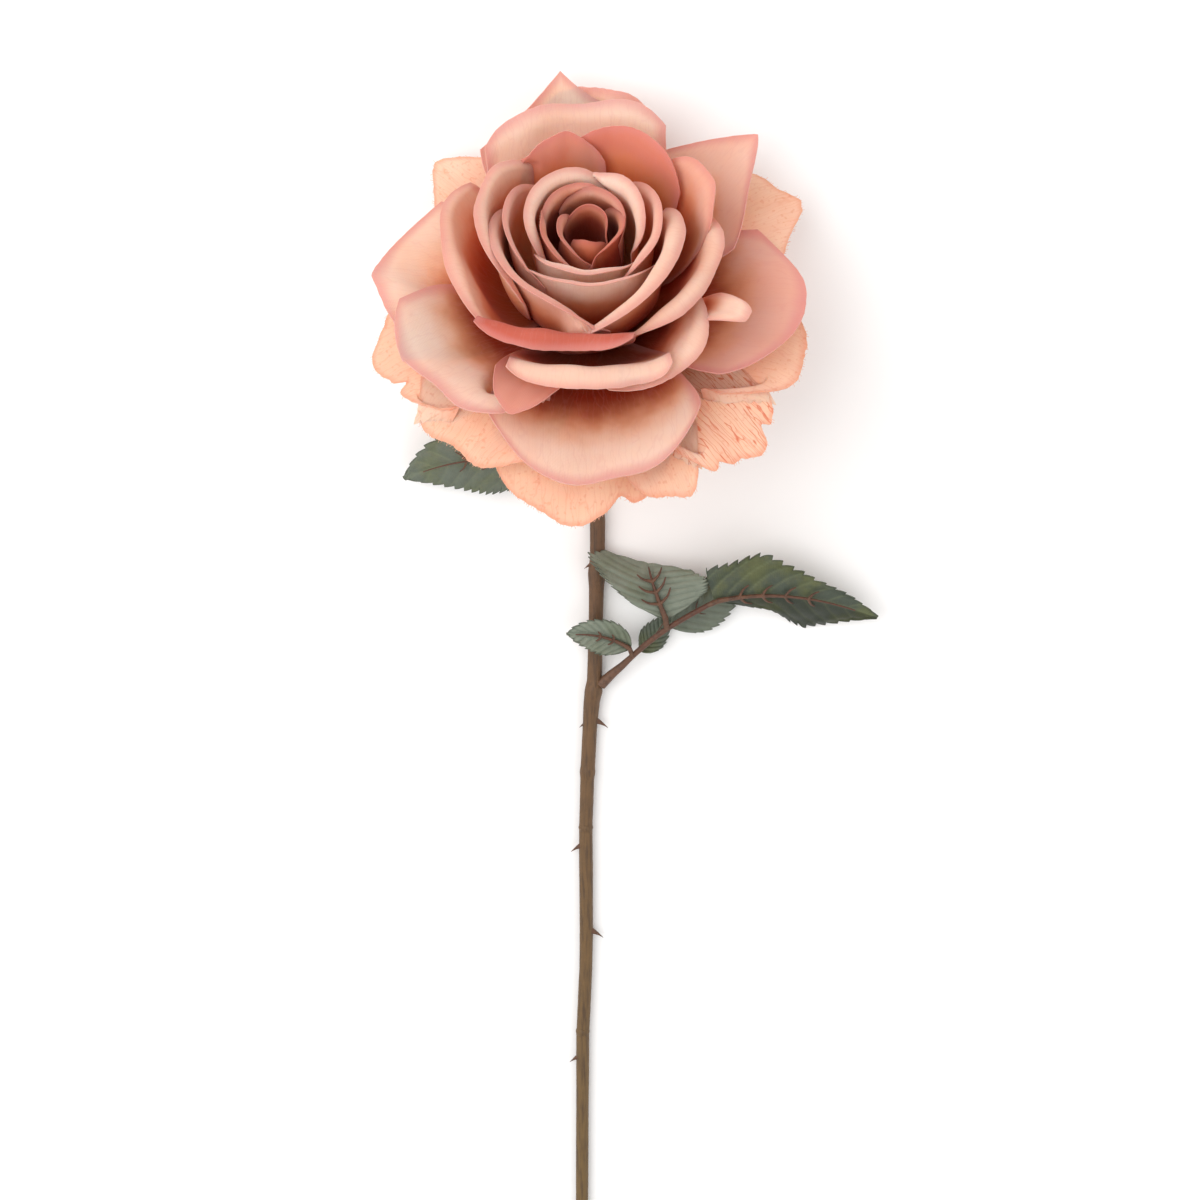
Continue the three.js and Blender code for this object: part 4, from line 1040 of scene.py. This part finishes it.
def thorn_line(y, side, length, line):
    """A thorn's middle line and radii, from inside the stem out and down to its tip."""
    x, z, radius = line[np.argmin(np.abs(line[:, 1] - y))][[0, 2, 3]]
    t = np.linspace(0, 1, THORN_POINTS)[:, None]
    start = np.array([x + side * (radius - 1.1), y + 0.5, z + 0.35])
    end = np.array([x + side * (radius - 0.2 + length * 0.9), y - 0.42 * length - 0.4, z + 0.5])
    middle = (start + end) / 2 + np.array([0, 0.18 * length, 0.1])
    centre = start * (1 - t) ** 2 + 2 * middle * t * (1 - t) + end * t**2
    thick = 0.06 + (0.3 + 0.27 * min(length, 4)) * (1 - t) ** 1.3
    return np.concatenate([centre, thick], axis=1)


def calyx_body():
    """The hip and the pad under the petals, turned about the bloom's axis."""
    profile = smooth_path([
        (0.05, FOOT_HEIGHT - 1), (FOOT_RADIUS, FOOT_HEIGHT - 1.2), (FOOT_RADIUS + 4, FOOT_HEIGHT - 4.2),
        (FOOT_RADIUS + 8, FOOT_HEIGHT - 7.2), (FOOT_RADIUS + 7.4, -5.2), (HIP_RADIUS - 0.6, -6.6),
        (HIP_RADIUS, -8.4), (HIP_RADIUS - 1, -11), (STEM_TOP_RADIUS + 0.7, -CALYX_LENGTH + 1.2),
        (STEM_TOP_RADIUS + 0.2, -CALYX_LENGTH), (0.05, -CALYX_LENGTH),
    ], CALYX_POINTS)
    angle = np.linspace(0, 2 * math.pi, CALYX_SIDES, endpoint=False)
    height = profile[:, 1][:, None]
    flute = 1 + 0.025 * np.cos(SEPALS * angle)[None, :] * (height < -5)
    reach = np.abs(profile[:, 0])[:, None] * flute
    points = np.stack([reach * np.cos(angle), reach * np.sin(angle), height + 0 * reach], -1)
    down = np.repeat(np.clip(-height / CALYX_LENGTH, 0, 1), CALYX_SIDES)[:, None]
    return points.reshape(-1, 3), ring_faces(CALYX_POINTS, CALYX_SIDES), {"run": down, "face": 0 * down}


def sepal(number):
    """One sepal, bent out and back from the hip, with a fringed edge."""
    line = np.array([
        (HIP_RADIUS - 3, -5.2), (HIP_RADIUS + 4, -6.5), (0.7 * SEPAL_LENGTH, -9), (SEPAL_LENGTH, -14.5)])
    v = np.linspace(0, 1, SEPAL_ROWS)[:, None]
    u = np.linspace(-1, 1, SEPAL_COLUMNS)[None, :]
    at = bezier(line, v[:, 0])[0]
    fringe = 1 + 0.12 * waves(50 + number, 4, 12, 30)(v) * np.abs(u)
    half = (SEPAL_WIDE + (SEPAL_TIP - SEPAL_WIDE) * v**1.5) * fringe
    curl = 1.5 * waves(60 + number, 2, 1, 3)(v * 2) * v
    turn = math.radians(90 + 360 / SEPALS * (number + 0.5))
    out, aside = at[:, 0][:, None] + 0 * u, u * half + curl
    grid = np.stack([
        out * math.cos(turn) - aside * math.sin(turn), out * math.sin(turn) + aside * math.cos(turn),
        at[:, 1][:, None] - 0.9 * np.abs(u) - 0.35 * (1 - np.abs(u)) * np.sin(math.pi * v)], -1)
    return cloth_sheet(grid, 0.6 - 0.3 * v + 0 * u, {"run": 0.3 + 0.5 * v + 0 * u})


# ---- settings shown to a user ----
class RoseSettings(bpy.types.PropertyGroup):
    """Sizes and colours of the rose"""

    petal_thickness: bpy.props.FloatProperty(
        name="Petal Thickness", description="Thickness of the petals' cloth", default=PETAL_THICK * MM,
        unit="LENGTH", subtype="DISTANCE")
    leaf_thickness: bpy.props.FloatProperty(
        name="Leaf Thickness", description="Thickness of the leaves' cloth", default=LEAF_THICK * MM,
        unit="LENGTH", subtype="DISTANCE")
    thread_length: bpy.props.FloatProperty(
        name="Loose Thread Length", description="Longest thread at a frayed rim", default=0.8 * MM,
        unit="LENGTH", subtype="DISTANCE")
    floor_colour: bpy.props.FloatVectorProperty(
        name="Floor Colour", description="Colour of the table", default=colour("#FCFBFA"),
        size=4, subtype="COLOR")


FOOT_GLUE = 1.2  # how much thicker the glued foot of a petal is, as a share


class RingOperator:
    """Makes one ring of petals"""

    ring = ""

    def execute(self, context):
        ring = RING_CLOTH[self.ring]
        cloth = petal_cloth(f"Pressed Polyester Satin {self.ring}", ring)
        thick = context.scene.rose.petal_thickness / MM
        for name, (grid, facts) in bloom_grids().items():
            if name.startswith(self.ring + "_"):
                glued = thick * (1 + FOOT_GLUE * (1 - smooth(facts["along"] * 3)))
                obj = build_mesh(f"petal_{name}", [cloth_sheet(from_bloom(grid), glued, facts)], cloth)
                finish_piece(obj, [f"petal_{name}"])
        return {"FINISHED"}


class ROSE_OT_heart(RingOperator, bpy.types.Operator):
    """Make the tight petals at the heart"""
    bl_idname = "rose.heart"
    bl_label = "Heart Petals"
    ring = "heart"


class ROSE_OT_cup(RingOperator, bpy.types.Operator):
    """Make the petals that cup the heart"""
    bl_idname = "rose.cup"
    bl_label = "Cup Petals"
    ring = "cup"


class ROSE_OT_middle(RingOperator, bpy.types.Operator):
    """Make the standing middle petals with rolled rims"""
    bl_idname = "rose.middle"
    bl_label = "Middle Petals"
    ring = "mid"


class ROSE_OT_low(RingOperator, bpy.types.Operator):
    """Make the low petals folded over in front"""
    bl_idname = "rose.low"
    bl_label = "Low Petals"
    ring = "low"


class ROSE_OT_outer(RingOperator, bpy.types.Operator):
    """Make the broad outer petals"""
    bl_idname = "rose.outer"
    bl_label = "Outer Petals"
    ring = "outer"


class ROSE_OT_guard(RingOperator, bpy.types.Operator):
    """Make the frayed guard petals"""
    bl_idname = "rose.guard"
    bl_label = "Guard Petals"
    ring = "guard"


class ROSE_OT_fray(bpy.types.Operator):
    """Make the loose threads at the guard petals' rims"""
    bl_idname = "rose.fray"
    bl_label = "Frayed Threads"

    def execute(self, context):
        # Loose ends of the petals' own yarn: matte, its dye changing every few millimetres.
        material, tree, shader = new_material("Dyed Polyester Thread")
        space = add_node(tree, "ShaderNodeTexCoord").outputs["Object"]
        dye = add_node(tree, "ShaderNodeTexNoise", None, {"Vector": space, "Scale": 300.0, "Detail": 2.0})
        shades = add_node(tree, "ShaderNodeMix", COLOURS, {
            0: dye.outputs["Fac"], 6: colour("#DD8C70"), 7: colour("#F2BDA2")})
        feed(tree, shader, {"Base Color": shades.outputs[2], "Roughness": 0.8})
        paths = []
        for name, (grid, _) in bloom_grids().items():
            if name.startswith("guard_"):
                rim, inside = from_bloom(grid[-1]), from_bloom(grid[-3])
                paths.append((rim, {"outwards": unit(rim - inside)}))
        obj = grow("guard_loose_threads", paths, fray_tree(), {
            "Thread Length": context.scene.rose.thread_length, "Material": material, "Seed": 5,
        }, (("outwards", "FLOAT_VECTOR", "vector"),))
        finish_piece(obj, [])
        return {"FINISHED"}


class ROSE_OT_calyx(bpy.types.Operator):
    """Make the calyx with its hip and sepals"""
    bl_idname = "rose.calyx"
    bl_label = "Calyx"

    def execute(self, context):
        plastic = moulded_plastic(
            "Moulded Polyethylene Calyx", "#5E6B46", "#6E6440", "#4C4A33", (350, 350, 350), 0.55)
        parts = [calyx_body()] + [sepal(number) for number in range(SEPALS)]
        obj = build_mesh("calyx", parts, plastic, lambda points: in_frame(from_bloom(points)))
        finish_piece(obj, ["calyx"])
        return {"FINISHED"}


class ROSE_OT_stem(bpy.types.Operator):
    """Make the sleeved stem with its knots, joints and thorns"""
    bl_idname = "rose.stem"
    bl_label = "Stem"

    def execute(self, context):
        plastic = moulded_plastic(
            "Moulded Polyethylene Sleeve", "#62402C", "#6C542C", "#432F1D", (1100, 90, 1100), 0.6)
        line = stem_line()
        parts = [tube_mesh(line, STEM_SIDES, stem_bumps)]
        for y, side, length in THORNS:
            points, faces, facts = tube_mesh(thorn_line(y, side, length, line), THORN_SIDES)
            parts.append((points, faces, {"run": facts["run"] * 0.1}))
        obj = build_mesh("stem", parts, plastic)
        finish_piece(obj, ["stem"])
        return {"FINISHED"}


class ROSE_OT_stalks(bpy.types.Operator):
    """Make the spray's stalk and the single leaf's stalk with their ribs and barbs"""
    bl_idname = "rose.stalks"
    bl_label = "Stalks And Ribs"

    def execute(self, context):
        plastic = moulded_plastic(
            "Moulded Polyethylene Stalk", "#684934", "#5A3322", "#3E281B", (700, 700, 700), 0.55)
        tree = tube_tree()
        for name, points, count, ribs in (
            ("spray_stalk", STALK, 60, SPRAY_RIBS), ("lone_stalk", LONE_STALK, 12, LONE_RIBS),
        ):
            stalk = smooth_path(points, count)
            paths = [(stalk[:, :3], stalk[:, 3])]
            for blade, start, thick, barbs in ribs:
                paths += rib_paths(LEAVES[blade], points[start][:3], thick, barbs)
            obj = grow(name, with_run(paths), tree, {"Sides": 14, "Material": plastic}, TUBE_FACTS)
            finish_piece(obj, [name])
        return {"FINISHED"}


class ROSE_OT_leaves(bpy.types.Operator):
    """Make the serrated leaf blades"""
    bl_idname = "rose.leaves"
    bl_label = "Leaves"

    def execute(self, context):
        cloth = leaf_cloth("Coated Polyester Leaf Cloth")
        thick = context.scene.rose.leaf_thickness / MM
        for number, (name, blade) in enumerate(LEAVES.items()):
            grid, facts = leaf_surface(blade, 100 + 10 * number)
            obj = build_mesh(name, [cloth_sheet(grid, thick, facts)], cloth)
            finish_piece(obj, [name])
        return {"FINISHED"}


# The camera: its tilt in degrees, its lens, how far off it stands, and where it aims from the
# bloom's centre, in millimetres.  The floor and the lights are in metres, and the power in watts.
CAMERA_TILT = 15
CAMERA_LENS = 100
CAMERA_FAR = 1066.67
CAMERA_ASIDE = 3.84
CAMERA_BELOW = 96
FLOOR_HALF = 6.0
LAMPS = [("key_light", (-0.75, 0.4, 1.15), 1.4, 14.5), ("fill_light", (0.9, -0.4, 1.0), 1.2, 3)]
WORLD_STRENGTH = 0.8


class ROSE_OT_stage(bpy.types.Operator):
    """Make the pale floor, the soft lights and the camera"""
    bl_idname = "rose.stage"
    bl_label = "Stage"

    def execute(self, context):
        scene = context.scene
        tilt = math.radians(CAMERA_TILT)
        back = np.array([0, math.sin(tilt), math.cos(tilt)])
        up = np.array([0, math.cos(tilt), -math.sin(tilt)])
        bloom = np.array([0, 0, BLOOM_HEIGHT])
        aim = bloom + (CAMERA_ASIDE, 0, 0) - CAMERA_BELOW * up
        eye = in_frame(aim + back * CAMERA_FAR)
        lens = bpy.data.cameras.new("Camera")
        lens.lens = CAMERA_LENS
        camera = add_object("Camera", lens)
        camera.matrix_world = Matrix((
            (1, 0, 0, eye[0]), (0, up[1], back[1], eye[1]), (0, up[2], back[2], eye[2]), (0, 0, 0, 1)))
        scene.camera = camera

        # Emulsion paint on the table: flat, with no shine.
        paint, tree, shader = new_material("Matte Painted Table")
        feed(tree, shader, {"Base Color": tuple(scene.rose.floor_colour), "Roughness": 0.9})
        floor_mesh = bpy.data.meshes.new("floor")
        corners = [(FLOOR_HALF * x, FLOOR_HALF * y, 0) for x, y in ((-1, -1), (1, -1), (1, 1), (-1, 1))]
        floor_mesh.from_pydata(corners, [], [(0, 1, 2, 3)])
        floor_mesh.materials.append(paint)
        made = [add_object("floor", floor_mesh), camera]

        target = Vector(in_frame(bloom))
        for name, place, width, power in LAMPS:
            lamp = bpy.data.lights.new(name, "AREA")
            lamp.size = width
            lamp.energy = power
            light = add_object(name, lamp)
            light.location = target + Vector(place)
            light.rotation_euler = (-Vector(place)).to_track_quat("-Z", "Y").to_euler()
            made.append(light)

        world = bpy.data.worlds.new("Soft Box")
        world.use_nodes = True
        sky = world.node_tree.nodes["Background"]
        sky.inputs["Color"].default_value = (1, 1, 1, 1)
        sky.inputs["Strength"].default_value = WORLD_STRENGTH
        scene.world = world
        scene.view_settings.view_transform = "Standard"
        return {"FINISHED"}


PIECES = (
    ROSE_OT_heart, ROSE_OT_cup, ROSE_OT_middle, ROSE_OT_low, ROSE_OT_outer, ROSE_OT_guard,
    ROSE_OT_fray, ROSE_OT_calyx, ROSE_OT_stem, ROSE_OT_stalks, ROSE_OT_leaves, ROSE_OT_stage,
)


class ROSE_PT_panel(bpy.types.Panel):
    """Lists the rose's pieces"""
    bl_idname = "ROSE_PT_panel"
    bl_label = "Cut Rose"
    bl_space_type = "VIEW_3D"
    bl_region_type = "UI"
    bl_category = "Rose"

    def draw(self, context):
        for key in RoseSettings.__annotations__:
            self.layout.prop(context.scene.rose, key)
        for piece in PIECES:
            self.layout.operator(piece.bl_idname)


def register():
    for kind in (RoseSettings, *PIECES, ROSE_PT_panel):
        bpy.utils.register_class(kind)
    bpy.types.Scene.rose = bpy.props.PointerProperty(type=RoseSettings)


def unregister():
    del bpy.types.Scene.rose
    for kind in reversed((RoseSettings, *PIECES, ROSE_PT_panel)):
        bpy.utils.unregister_class(kind)


def main():
    register()
    for piece in PIECES:
        group, call = piece.bl_idname.split(".")
        getattr(getattr(bpy.ops, group), call)()


if __name__ == "__main__":
    main()
